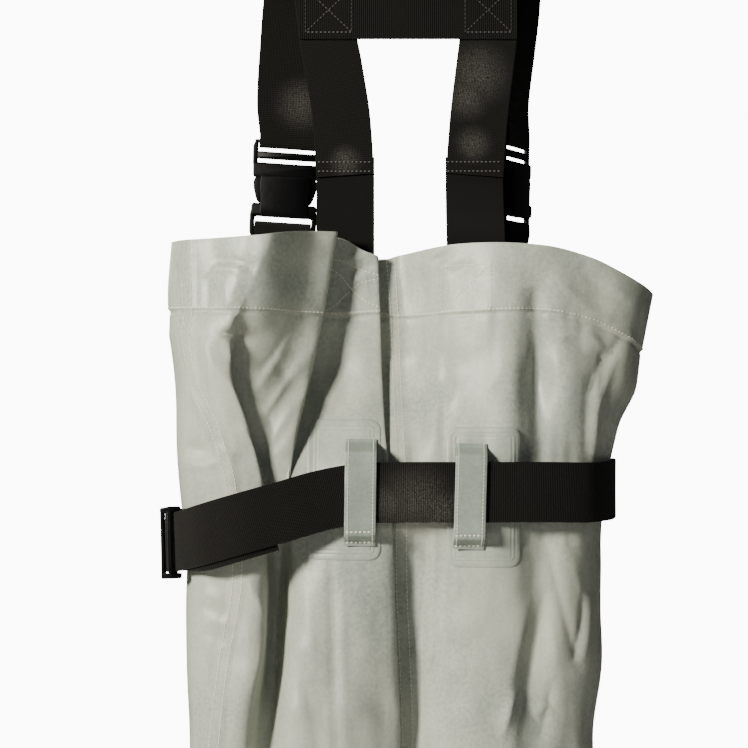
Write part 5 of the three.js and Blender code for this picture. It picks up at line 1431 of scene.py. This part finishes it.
back = np.linspace(SLIDE_LENGTH / 2 + BAR, BELT_TAIL, 60)
at, _, out, across = belt_at(slide_away - back)
low = ease(3 * (back - back[0]) / BELT_TAIL)[:, None]
tail_spots = at - out * (WEBBING_THICK + 2 * GAP) + across * (BAR * low)
tail_part, tail_uv = tape(tail_spots[::-1], across[::-1], WEBBING, WEBBING_THICK, 1.6, 0.2)
piece("webbing_belt_end", [tail_part], belt_web, ["belt_tail"], tail_uv)

# %% [markdown]
# ## Belt loops
#
# A loop is a strip of the body's own cloth, folded in three and sewn along both edges. It is sewn
# down above and below the belt, and two rows of stitches end it. Between, it lies over the belt.

# %% Belt loops
for side, place, rise, _, _ in LOOPS:
    x, z = place * HALF_WIDTH, BELT_HEIGHT + rise
    share = np.linspace(0.5, -0.5, 61)
    belt_y = belt_at(belt_near(x, -HALF_DEPTH * 1.05))[0][1]
    over = belt_y - WEBBING_THICK / 2 - 3 * GAP - LOOP_THICK / 2
    spread = x + LOOP_WIDTH * np.linspace(-0.5, 0.5, 9)[None, :]
    height = z + share[:, None] * LOOP_LENGTH + 0 * spread
    sewn = back_y(spread, height, soft_map).min(1) - 0.4 - PATCH_THICK - LOOP_THICK / 2
    y = mix(sewn, over, ease((0.47 - np.abs(share)) / 0.09))
    y = y - 0.5 * np.exp(-(((np.abs(share) - 0.31) / 0.04) ** 2))
    lean = (2.4 if side == "right" else 1.2) * share
    spots = np.stack([x + lean, y, z + share * LOOP_LENGTH], -1)
    widths = np.broadcast_to([1.0, 0.0, 0.0], spots.shape)
    part, uv = tape(spots, widths, LOOP_WIDTH, LOOP_THICK, 1.0, 0.5)
    piece(f"loop_{side}", [part], loop_nylon, [f"belt_loop_{side}"], uv)
    lift = -(LOOP_THICK / 2 + 0.05) * np.sign(np.cross(spots[1] - spots[0], widths[0])[1])
    rows = tape_rows(spots, widths, (-10.4, 10.4), lift, 3.0)
    foot = spots[-6]
    for rise in (-4.5, 5):
        y = np.interp(foot[2] + rise, spots[::-1, 2], spots[::-1, 1]) - LOOP_THICK / 2 - 0.15
        line = foot[0] + LOOP_WIDTH * np.linspace(-0.44, 0.44, 60)
        line = np.stack([line, np.full(60, y), np.full(60, foot[2] + rise)], -1)
        rows.append(stitch_row(line, np.tile([0.0, -1, 0], (60, 1)), wide=1.1))
    piece(f"loop_stitches_{side}", rows, thread)

# %% [markdown]
# ## Shoulder straps
#
# Ribbed elastic comes up from a seam on the smooth webbing, goes over the shoulder and turns back
# through the plug's bar. The smooth webbing goes down inside the hem, where the sewn box holds it.

# %% The straps' lines
STRAP_RISE, STRAP_SEAM, BACK_RISE, TAB_INSIDE = 264, 16, 84, 50
BUCKLE_RISE, YOKE_RISE, YOKE_TALL = 60, 211, 50
# Each strap's buckle: its place in shares, its turn and its lean in degrees. Then the strap's
# way up, over and down: places in shares, a share of STRAP_RISE, and its turn in degrees.
STRAPS = {
    "left": (
        (-0.505, 0.56, 4, 3.5),
        [
            (-0.232, -0.13, 0.28, 0),
            (-0.25, -0.09, 0.45, 0),
            (-0.285, -0.06, 0.62, 0),
            (-0.305, -0.05, 0.7, 0),
            (-0.335, -0.045, 0.88, 0),
            (-0.36, 0.02, 0.955, 6),
            (-0.4, 0.2, 1, 12),
            (-0.44, 0.37, 0.955, 10),
            (-0.47, 0.45, 0.87, 8),
            (-0.49, 0.5, 0.7, 5),
            (-0.503, 0.53, 0.52, 4),
        ],
    ),
    "right": (
        (0.515, 0.37, 65, 0),
        [
            (0.325, -0.15, 0.28, 0),
            (0.345, -0.1, 0.45, 0),
            (0.372, -0.06, 0.62, 0),
            (0.385, -0.05, 0.7, 0),
            (0.4, -0.045, 0.88, 0),
            (0.42, 0.02, 0.955, -4),
            (0.46, 0.2, 0.995, -2),
            (0.5, 0.32, 0.95, 8),
            (0.515, 0.37, 0.86, 24),
            (0.52, 0.38, 0.7, 45),
            (0.517, 0.37, 0.52, 60),
        ],
    ),
}


def turned(degrees):
    """The way across a strap that is turned about its length, from X."""
    angle = np.radians(degrees)
    return np.stack([np.cos(angle), np.sin(angle), 0 * angle], -1)


def strap_frame(x, y, turn, lean):
    """The frame of a strap's buckle: the middle, the way down, the way out, the way across."""
    up, beside, angle = np.array([0.0, 0.0, 1.0]), turned(turn), np.radians(lean)
    across = up * np.sin(angle) - beside * np.cos(angle)
    way = -up * np.cos(angle) - beside * np.sin(angle)
    at = np.array([x * HALF_WIDTH, y * HALF_DEPTH, BIB_TOP + BUCKLE_RISE])
    return at, way, np.cross(way, across), across


# %% Straps, webbings and tabs
for side, (buckle, path) in STRAPS.items():
    path = np.array(path)
    frame = strap_frame(*buckle)
    spots = path[:, :3] * (HALF_WIDTH, HALF_DEPTH, STRAP_RISE) + (0, 0, BIB_TOP)
    spots[0, 2] = BIB_TOP + BACK_RISE - STRAP_SEAM
    bar_spots, bar_across = round_bar(frame, PLUG_BAR, 1, -1)
    strap_spots = np.concatenate([spots, bar_spots])
    strap_across = np.concatenate([turned(path[:, 3]), -bar_across])
    part, uv = tape(strap_spots, strap_across, WEBBING, WEBBING_THICK, 1.3, 0.3)
    piece(f"strap_{side}", [part], elastic, [f"shoulder_strap_{side}"], uv)

    x = spots[0, 0]
    top, seam = BIB_TOP + BACK_RISE, BIB_TOP + BACK_RISE - STRAP_SEAM
    reach = x + WEBBING * np.linspace(-0.5, 0.5, 11)[:, None]
    wall = back_y(reach, BIB_TOP - TAB_INSIDE * np.array([[0.1, 0.5, 0.9]])).max()
    wall = wall + 2 * FABRIC + 2 * GAP + WEBBING_THICK / 2
    behind = spots[0, 1] + WEBBING_THICK + 2 * GAP
    slope = (spots[1, 1] - spots[0, 1]) / (spots[1, 2] - seam)
    low = BIB_TOP - TAB_INSIDE
    z = np.array([low, low + 25, BIB_TOP + 8.4, BIB_TOP + 37.8, seam - 8, seam, top])
    y = mix(wall, behind, np.array([0, 0, 0.12, 0.7, 1, 1, 1]))
    y = y + np.maximum(0, slope * (z - seam))
    web_spots = np.stack([np.full(7, x), y, z], -1)
    part, uv = tape(web_spots, np.tile([1.0, 0, 0], (7, 1)), WEBBING, WEBBING_THICK, 2, 0.2)
    piece(f"webbing_{side}", [part], smooth_web, [f"back_webbing_{side}"], uv)

    bar_spots, bar_across = round_bar(frame, SOCKET_BAR, -1, 1)
    x, start, turn = buckle[0] * HALF_WIDTH, bar_spots[0], buckle[2]
    reach = x + WEBBING * np.linspace(-0.5, 0.5, 5)[:, None]
    wall = front_point(reach, np.array([[0, TAB_INSIDE]]) / BODY_LENGTH)[..., 1].min()
    wall = wall - 2 * FABRIC - 2 * GAP - WEBBING_THICK / 2
    share = np.array([0, 0.12, 0.4, 0.75, 1])
    swing = WEBBING / 2 * np.sin(np.radians(turn * share))
    tab_spots = np.stack(
        [
            mix(x, start[0], share),
            mix(wall - swing, start[1], ease(share)),
            low + TAB_INSIDE * np.array([0, 0.3, 0.6, 0.9, 1.15]),
        ],
        -1,
    )
    tab_spots = np.concatenate([tab_spots, bar_spots])
    tab_across = np.concatenate([turned(turn * share), -bar_across])
    part, uv = tape(tab_spots, tab_across, WEBBING, WEBBING_THICK, 1.3, 0.2)
    piece(f"tab_{side}", [part], belt_web, [f"front_tab_{side}"], uv)

    # The seam where elastic meets webbing is sewn twice, in black
    rows = []
    for rise in (3.5, 11.5):
        x = spots[0, 0] + WEBBING * np.linspace(-0.47, 0.47, 60)
        y = spots[0, 1] - WEBBING_THICK / 2 - 0.35 + slope * rise
        row_spots = np.stack([x, np.full(60, y), np.full(60, seam + rise)], -1)
        rows.append(stitch_row(row_spots, np.tile([0.0, -1, 0], (60, 1)), wide=0.9))
    piece(f"strap_stitches_{side}", rows, dark_thread)

# %% The yoke
# A length of the same elastic joins the straps behind the neck, and is sewn to each with a box
ends = []
for side, swing in (("left", -1), ("right", 1)):
    path = STRAPS[side][1]
    ends.append(path[3][0] * HALF_WIDTH + swing * WEBBING / 2)
yoke_y = STRAPS["left"][1][3][1] * HALF_DEPTH - WEBBING_THICK - 2 * GAP
yoke_x = np.linspace(ends[0], ends[1], 5)
yoke_spots = np.stack([yoke_x, np.full(5, yoke_y), np.full(5, BIB_TOP + YOKE_RISE)], -1)
part, uv = tape(yoke_spots, np.tile([0.0, 0, 1], (5, 1)), YOKE_TALL, WEBBING_THICK, 1.5, 0.15)
piece("yoke", [part], elastic, ["yoke_band"], uv)
rows = []
for x in (ends[0] + WEBBING / 2, ends[1] - WEBBING / 2):
    centre = np.array([x, yoke_y - WEBBING_THICK / 2 - 0.15, BIB_TOP + YOKE_RISE])
    rows += box_rows(centre, (0, 0, 1), (1, 0, 0), np.array([0.0, -1.0, 0.0]), 38, 40)
piece("yoke_stitches", rows, dark_thread)

# %% [markdown]
# ## Buckles and the belt's slide
#
# A side-release buckle is two mouldings: a plug with two springy prongs, and a socket with two
# side windows that the prongs snap into. Both have rounded outlines and slightly rounded edges,
# because that is how they come out of the mould. Each is built of plates: an outline with rounded
# corners, in six rings that give it its edge.

# %% Plates with rounded edges
BUCKLE_WIDE, CORNER_POINTS = 61, 6


def round_outline(corners, radius):
    """An outline with each corner replaced by a curve: a quadratic Bezier from side to side."""
    corners = np.asarray(corners, float)
    before, after = np.roll(corners, 1, axis=0) - corners, np.roll(corners, -1, axis=0) - corners
    reach = []
    for way in (before, after):
        length = np.linalg.norm(way, axis=1, keepdims=True)
        reach.append(corners + way / length * np.minimum(radius, 0.48 * length))
    t = np.linspace(0, 1, CORNER_POINTS)[None, :, None]
    one, two = reach[0][:, None], reach[1][:, None]
    bend = one * (1 - t) ** 2 + 2 * t * (1 - t) * corners[:, None] + two * t**2
    return bend.reshape(-1, 2)


def slab(corners, low, high, radius, edge):
    """A plate between two heights: rings of its outline, drawn in by the edge at both faces."""
    outline = round_outline(corners, radius)
    after = np.roll(outline, -1, axis=0)
    run = after - np.roll(outline, 1, axis=0)
    run = run / np.linalg.norm(run, axis=1, keepdims=True)
    area = (outline[:, 0] * after[:, 1] - outline[:, 1] * after[:, 0]).sum()
    inward = np.stack([-run[:, 1], run[:, 0]], -1) * np.sign(area)
    edge = min(edge, 0.45 * (high - low))
    levels = [(low, 1), (low + 0.3 * edge, 0.3), (low + edge, 0)]
    levels += [(high - edge, 0), (high - 0.3 * edge, 0.3), (high, 1)]
    rings = [
        np.concatenate([outline + inward * edge * share, np.full((len(outline), 1), level)], 1)
        for level, share in levels
    ]
    return np.concatenate(rings), capped(len(levels), len(outline))


def box(x0, x1, y0, y1):
    """The corners of a rectangle."""
    return [(x0, y0), (x1, y0), (x1, y1), (x0, y1)]


def seated(parts, frame):
    """The parts, made flat (x along the strap, y across, z out), moved to a frame."""
    at, way, out, across = frame
    turn = np.stack([way, across, out])
    return [outward(points @ turn + at + SHIFT, faces) for points, faces in parts]


# %% The plug and the socket
RAIL_INSIDE = WEBBING / 2 + 2 * GAP


def plug_parts():
    """Two bars and a bridge between rails, and the two prongs with the pads that fingers press."""
    half, front = BUCKLE_WIDE / 2, -HALF_BUCKLE
    parts = []
    for side in (-1, 1):
        rail = [(front, RAIL_INSIDE), (front, half - 3), (front + 5, half), (-20, half - 0.6)]
        rail.append((-20, RAIL_INSIDE))
        prong = [(-16, 20), (-8, 28.6), (-1, 28), (8, 25.5), (12, 23.3), (12.6, 20), (0, 18)]
        for outline, thick in ((rail, 2.2), (prong, 3.9)):
            outline = [(x, side * y) for x, y in outline]
            parts.append(slab(outline, -thick, thick, 3, 1))
    for x0, x1 in ((front, front + 3.4), (front + 10.6, front + 17.2)):
        parts.append(slab(box(x0, x1, 1.5 - half, half - 1.5), -1.9, 1.9, 1.2, 1.2))
    bridge = [(front + 20.7, half - 0.8), (-11, half - 1.4), (-8, 21)]
    bridge += [(x, -y) for x, y in bridge[::-1]]
    parts.append(slab(bridge, -4.2, 4.2, 2.5, 1.2))
    return parts


def socket_parts():
    """A flat box that the prongs sit in, rounded shoulders, a bar, two slots and a lip."""
    half = BUCKLE_WIDE / 2
    parts = []
    for side in (-1, 1):
        cheek = [(13, 19), (15.5, 27.5), (21, half - 0.6), (39, half - 1), (44, half - 3.5)]
        cheek += [(44, RAIL_INSIDE - 1), (24.2, RAIL_INSIDE), (24.2, 19)]
        parts.append(slab([(x, side * y) for x, y in cheek], -2.4, 2.4, 3, 1))
    body = [(-12.7, 21.5), (-6, 22.6), (11, 21), (24.2, 21.5)]
    body += [(x, -y) for x, y in body[::-1]]
    for low, high in ((4.3, 5.9), (-5.9, -4.3)):
        parts.append(slab(body, low, high, 3.5, 0.9))
    parts.append(slab(box(-1, 17, -12, 12), 5.8, 6.1, 5, 0.25))
    parts.append(slab(box(12.8, 24.2, 1.5 - half, half - 1.5), -5, 5, 3, 1.4))
    for x0, x1 in ((32.8, 37.8), (40.5, 44)):
        parts.append(slab(box(x0, x1, 2 - half, half - 2), -1.9, 1.9, 1.2, 1.2))
    return parts


places = {"belt_buckle_{}": belt_buckle}
for side, (buckle, _) in STRAPS.items():
    places["strap_buckle_{}_" + side] = strap_frame(*buckle)
for name, frame in places.items():
    for part_name, parts in (("plug", plug_parts()), ("socket", socket_parts())):
        node = name.format(part_name)
        piece(f"moulded_{node}", seated(parts, frame), acetal, [node])

# %% The belt's slide
# Two rails carry three bars: the webbing goes over the outer two and under the middle one
slide_rise = WEBBING_THICK / 2 + 2 * GAP
rail = slide_rise + BAR_THICK
half = BUCKLE_WIDE / 2
reach = SLIDE_LENGTH / 2
slide_parts = [
    slab(box(-reach, reach, side * (RAIL_INSIDE + 0.1), side * half), -rail, rail, 2, 1.3)
    for side in (-1, 1)
]
for x in (-reach + BAR / 2, reach - BAR / 2):
    bar = box(x - BAR / 2, x + BAR / 2, -half + 2, half - 2)
    slide_parts.append(slab(bar, slide_rise, rail - 0.2, 1.2, 1.4))
bar = box(-BAR / 2, BAR / 2, -half + 2, half - 2)
slide_parts.append(slab(bar, -rail + 0.2, -slide_rise, 1.2, 1.4))
slide_frame = belt_at(slide_away)
slide_parts = seated(slide_parts, slide_frame)
piece("moulded_slide", slide_parts, acetal, ["belt_slide"])

# %% [markdown]
# ## Boots
#
# The upper is one moulding of PVC: the foot's outline at the sole turns into the shaft's oval
# further up. It is a stack of rings with a smooth curve through each column, and the moulded
# lines are small steps out of that surface. The sole is moulded on afterwards, round a last.

# %% The boot's outline and seat
INSOLE_THICK, RIM_HEIGHT, RIM_WALL = 4, 14, 3
HEEL_SEAT, BALL_SEAT, TOE_SEAT = 32, 18, 27
TOE_SPRING, ARCH_RISE, LUG_DEPTH, LUG_PITCH, LUG_GROOVE = 11, 13, 5, 20, 6
FULLNESS_ALONG = [0, 0.08, 0.16, 0.26, 0.4, 0.5, 0.6, 0.7, 0.8, 0.9, 1]
FULLNESS_OUT = [1.25, 1.12, 0.92, 0.8, 0.76, 0.84, 0.97, 1.08, 1.17, 1.22, 1.12]
FULLNESS_IN = [1.25, 1.12, 0.92, 0.73, 0.63, 0.68, 0.84, 1.05, 1.24, 1.46, 1.56]
TOE_SWING, HALF_BALL = 7, BALL_WIDTH / 2
HEEL_Y, TOE_Y = RIM_WALL - HEEL_OVERHANG, SOLE_LENGTH - HEEL_OVERHANG - RIM_WALL
SEAT_ALONG = [0, 0.2, 0.45, 0.66, 0.82, 1]
SEAT_Z = [
    HEEL_SEAT,
    HEEL_SEAT,
    mix(BALL_SEAT, HEEL_SEAT, 0.35),
    BALL_SEAT,
    mix(BALL_SEAT, TOE_SEAT, 0.3),
    TOE_SEAT,
]
# The upper's rings, from the sole up: how far each stands in at the heel and at the toe, in
# shares of the sole's length, its height there in shares of the boot's, its half width in shares
# of the ball's or the shaft's, and how far it has the foot's outline
UPPER = [
    (-0.008, -0.01, 0.2, 0.165, 1.01, 1),
    (-0.002, 0.03, 0.232, 0.198, 0.95, 1),
    (0.008, 0.11, 0.262, 0.228, 0.865, 0.95),
    (0.018, 0.215, 0.3, 0.268, 0.79, 0.85),
    (0.026, 0.315, 0.344, 0.33, 0.76, 0.6),
    (0.034, 0.395, 0.395, 0.41, 0.77, 0.35),
    (0.038, 0.445, 0.47, 0.51, 0.83, 0.12),
    (0.04, 0.475, 0.58, 0.62, 0.95, 0),
]


def seat_height(y):
    """The top of the sole under the foot."""
    return curve(SEAT_ALONG, SEAT_Z, (y - HEEL_Y) / (TOE_Y - HEEL_Y))


def around(count):
    """Angles round a ring, and how far each is on the way from the heel to the toe."""
    phase = np.arange(count) / count * 2 * np.pi
    return phase, (1 - np.cos(phase)) / 2


def foot_ring(phase, heel_y=HEEL_Y, toe_y=TOE_Y, half=HALF_BALL, foot=1, grow=0.0):
    """A ring of the boot in plan: an ellipse made fuller or slimmer on each side, and grown."""
    along = (1 - np.cos(phase)) / 2
    outer, inner = (curve(FULLNESS_ALONG, n, along) for n in (FULLNESS_OUT, FULLNESS_IN))
    full = mix(1, np.where(np.sin(phase) >= 0, outer, inner), foot)
    y = mix(heel_y, toe_y, along)
    x = half * np.sin(phase) * full - TOE_SWING * foot * ease((along - 0.4) / 0.6)
    way_x, way_y = np.roll(x, -1) - np.roll(x, 1), np.roll(y, -1) - np.roll(y, 1)
    length = np.hypot(way_x, way_y)
    return np.stack([x + way_y / length * grow, y - way_x / length * grow], -1)


def on_side(points, faces, side):
    """A right boot's part, placed on its side of the middle, and mirrored for the left."""
    return outward(points * (side, 1, 1) + (side * BOOT_X, 0, 0) + SHIFT, faces)


# %% Uppers
UPPER_COLUMNS, UPPER_ROWS = 150, 106


def upper_part():
    """The upper's wall: rings from the sole to the shaft, with its lines moulded on."""
    phase, along = around(UPPER_COLUMNS)
    rings = []
    for rise in (GAP, RIM_HEIGHT):
        plan = foot_ring(phase)
        rings.append(np.column_stack([plan, seat_height(plan[:, 1]) + rise]))
    for heel, toe, heel_z, toe_z, half, foot in UPPER:
        wide = mix(half * SHAFT_WIDTH / 2, half * HALF_BALL, foot)
        plan = foot_ring(phase, HEEL_Y + heel * SOLE_LENGTH, TOE_Y - toe * SOLE_LENGTH, wide, foot)
        rings.append(np.column_stack([plan, mix(heel_z, toe_z, along) * BOOT_TOP]))
    for z in (CUFF_LOW - 8, BOOT_TOP):
        plan = foot_ring(phase, -SHAFT_DEPTH / 2, SHAFT_DEPTH / 2, SHAFT_WIDTH / 2, 0)
        rings.append(np.column_stack([plan, np.full(UPPER_COLUMNS, z)]))
    rings = np.stack(rings)
    points = curve(np.arange(len(rings)), rings, np.linspace(0, len(rings) - 1, UPPER_ROWS))
    faces = lattice(UPPER_ROWS, UPPER_COLUMNS)
    ways = normals_of(points.reshape(-1, 3), faces).reshape(points.shape)
    if (ways[..., 1] * np.cos(phase)).sum() > 0:
        ways = -ways
    z, y = points[..., 2], points[..., 1]
    above = z - seat_height(y)
    toe_line, heel_line = 132 - 0.25 * above, -22 - 0.3 * above
    out = 0.9 * ease((y - toe_line) / 1.5) * ease((75 - above) / 2)
    out += 0.9 * ease((heel_line - y) / 1.5) * ease((112 - above) / 2)
    out += 1.1 * np.exp(-(((above - 24) / 2.2) ** 2))
    for level in (236, 246, 256):
        out += 0.8 * np.exp(-(((z - level) / 1.8) ** 2))
    instep = np.exp(-(((along[None, :] - 1) / 0.3) ** 2)) * np.exp(-(((z - 128) / 26) ** 2))
    out += 1.1 * instep * np.sin(z / 4.2 + np.cos(phase * 3)[None, :])
    spur = ease((-0.75 + np.cos(phase)) / 0.2)[None, :]
    out += 3.5 * spur * np.exp(-(((z - 92) / 4.5) ** 2))
    sag = np.exp(-(((z - 205) / 30) ** 2))
    out += 0.9 * sag * np.sin(z / 8 + 2 * np.sin(phase)[None, :])
    ends = ease((above - 14) / 4) * ease((BOOT_TOP - 2 - z) / 8)
    outer = points + ways * (out * ends)[..., None]
    inner = points[::3, ::3] - ways[::3, ::3] * BOOT_WALL
    rows, columns = outer.shape[:2]
    start = rows * columns
    low = np.arange(columns)
    inner_rows, inner_columns = inner.shape[:2]
    inner_faces = lattice(inner_rows, inner_columns) + start
    inner_low = start + np.arange(inner_columns)
    foot_rim = rim(low, inner_low)
    top_rim = rim(low + (rows - 1) * columns, inner_low + (inner_rows - 1) * inner_columns)
    all_faces = [faces, inner_faces[:, ::-1], *[strip[:, ::-1] for strip in foot_rim], *top_rim]
    return np.concatenate([outer.reshape(-1, 3), inner.reshape(-1, 3)]), all_faces


upper_points, upper_faces = upper_part()
for word, side in (("left", -1), ("right", 1)):
    part = on_side(upper_points, upper_faces, side)
    piece(f"upper_{word}", [part], boot_pvc, [f"boot_upper_{word}"], sharp=50)

# %% [markdown]
# ## Soles and insoles
#
# The sole's surface is one lattice. Its columns go round the foot's outline, and its rows go from
# the middle of the tread to the edge, up the side, over the rim, and back in across the seat.
# Under the foot the columns lean by the chevrons' slope, so that each lug has clean edges.

# %% Outsoles
SOLE_COLUMNS = 600
SOLE_HEEL, SOLE_TOE = HEEL_Y - RIM_WALL, TOE_Y + RIM_WALL
HEEL_BREAST = mix(SOLE_HEEL, SOLE_TOE, 0.235)
TREAD_BACK = mix(SOLE_HEEL, SOLE_TOE, 0.44)
SPRING_START = mix(SOLE_HEEL, SOLE_TOE, 0.8)
CHEVRON = 0.28
UNDERSIDE = np.array(
    [
        (SOLE_HEEL - 10, 2),
        (SOLE_HEEL + 2, 2),
        (SOLE_HEEL + 10, 0),
        (HEEL_BREAST, 0),
        (HEEL_BREAST + 4, ARCH_RISE),
        (mix(HEEL_BREAST, TREAD_BACK, 0.5), ARCH_RISE),
        (TREAD_BACK, ARCH_RISE * 0.75),
        (TREAD_BACK + 6, 0),
        (SPRING_START, 0),
        (mix(SPRING_START, SOLE_TOE, 0.55), TOE_SPRING * 0.32),
        (SOLE_TOE - 8, TOE_SPRING * 0.72),
        (SOLE_TOE + 10, TOE_SPRING * 1.3),
    ]
)


def tread(x, y):
    """The underside's height: its line from heel to toe, raised to the grooves' depth in them."""
    z = np.interp(y, UNDERSIDE[:, 0], UNDERSIDE[:, 1])
    starts = [mix(SOLE_HEEL, HEEL_BREAST, share) for share in (0.4, 0.85)]
    starts += list(np.arange(TREAD_BACK + 2 * LUG_PITCH, SOLE_TOE + LUG_PITCH, LUG_PITCH))
    cut = np.zeros(z.shape)
    for start in starts:
        off = np.abs(y + CHEVRON * np.abs(x) - start - LUG_GROOVE / 2)
        cut = np.maximum(cut, ease((LUG_GROOVE / 2 + 0.5 - off) / 1.0))
    return np.maximum(z, mix(z, LUG_DEPTH, cut))


def sole_part():
    """The outsole's lattice, with its two spines closed by sharing the points of both sides."""
    phase, along = around(SOLE_COLUMNS)
    plan = {grow: foot_ring(phase, grow=grow) for grow in (3, 2.7, 2.4, 1.2, 0.9, 0.3)}
    spine_x = -TOE_SWING * ease((along - 0.4) / 0.6)
    lean = CHEVRON * np.abs(plan[2.4][:, 0] - spine_x)
    rows = []
    for share in np.linspace(0, 1, 30):
        x = mix(spine_x, plan[2.4][:, 0], share)
        y = plan[2.4][:, 1] + lean * (1 - share)
        rows.append(np.stack([x, y, tread(x, y)], -1))
    # How far out and how high: the side with its two grooves, the rim, and its inner face
    seat_z = seat_height(plan[0.3][:, 1])
    foot = rows[-1][:, 2]
    levels = [(2.7, foot + 0.3), (3, foot + 0.9), (3, mix(foot, seat_z - 8.3, 0.5))]
    levels += [(3, seat_z - 8.3), (2.7, seat_z - 8), (1.2, seat_z - 7.8), (1.2, seat_z - 5.2)]
    levels += [(2.7, seat_z - 5), (3, seat_z - 4.7), (3, seat_z + 1.6), (2.4, seat_z + 2.2)]
    levels += [(2.4, seat_z + 2.8), (3, seat_z + 3.4), (3, seat_z + 9.6), (2.4, seat_z + 10.2)]
    levels += [(2.4, seat_z + 10.8), (3, seat_z + 11.4), (3, seat_z + 13.2)]
    levels += [(2.7, seat_z + 13.8), (2.4, seat_z + 14), (0.9, seat_z + 14)]
    levels += [(0.3, seat_z + 13.5), (0.3, seat_z + 6), (0.3, seat_z)]
    rows += [np.column_stack([plan[grow], z]) for grow, z in levels]
    for share in np.linspace(1, 0, 8)[1:]:
        x = mix(spine_x, plan[0.3][:, 0], share)
        y = plan[0.3][:, 1]
        rows.append(np.stack([x, y, seat_height(y)], -1))
    return closed_spines(np.stack(rows))


def closed_spines(points):
    """A part from rows round it: both halves of its first and its last row share their points."""
    rows, columns = points.shape[:2]
    number = np.arange(rows * columns).reshape(rows, columns)
    twin = np.minimum(np.arange(columns), -np.arange(columns) % columns)
    number[0], number[-1] = number[0][twin], number[-1][twin]
    return compact(points.reshape(-1, 3), number.ravel()[lattice(rows, columns)])


def compact(points, quads):
    """The part without points that no face uses, and with folded quads as triangles."""
    used, flat = np.unique(quads, return_inverse=True)
    quads = flat.reshape(-1, 4)
    same = [quads[:, k] == quads[:, (k + 1) % 4] for k in range(4)]
    whole = quads[~np.any(same, axis=0)]
    folded = [np.delete(quads[same[k] & (sum(same) == 1)], k, axis=1) for k in range(4)]
    return points[used], [whole, *[rows for rows in folded if len(rows)]]


sole_points, sole_faces = sole_part()
for word, side in (("left", -1), ("right", 1)):
    part = on_side(sole_points, sole_faces, side)
    piece(f"sole_{word}", [part], sole_nitrile, [f"outsole_{word}"])


# %% Insoles
INSOLE_COLUMNS = 120


def insole_part():
    """A felt sheet in the boot: a lattice like the sole's, with a rounded edge."""
    phase, along = around(INSOLE_COLUMNS)
    edge = foot_ring(phase, grow=-BOOT_WALL - 2 * GAP)
    soft = foot_ring(phase, grow=-BOOT_WALL - 2 * GAP - 1)
    spine = np.column_stack([-TOE_SWING * ease((along - 0.4) / 0.6), edge[:, 1]])
    base = seat_height(edge[:, 1])
    rows = [np.column_stack([mix(spine, soft, s), base + GAP]) for s in np.linspace(0, 1, 6)]
    for rise in (GAP + 0.6, GAP + INSOLE_THICK - 0.8):
        rows.append(np.column_stack([edge, base + rise]))
    top = base + GAP + INSOLE_THICK
    rows += [np.column_stack([mix(spine, soft, s), top]) for s in np.linspace(1, 0, 8)]
    return closed_spines(np.stack(rows))


insole_points, insole_faces = insole_part()
for word, side in (("left", -1), ("right", 1)):
    part = on_side(insole_points, insole_faces, side)
    piece(f"felt_insole_{word}", [part], felt, [f"insole_{word}"])
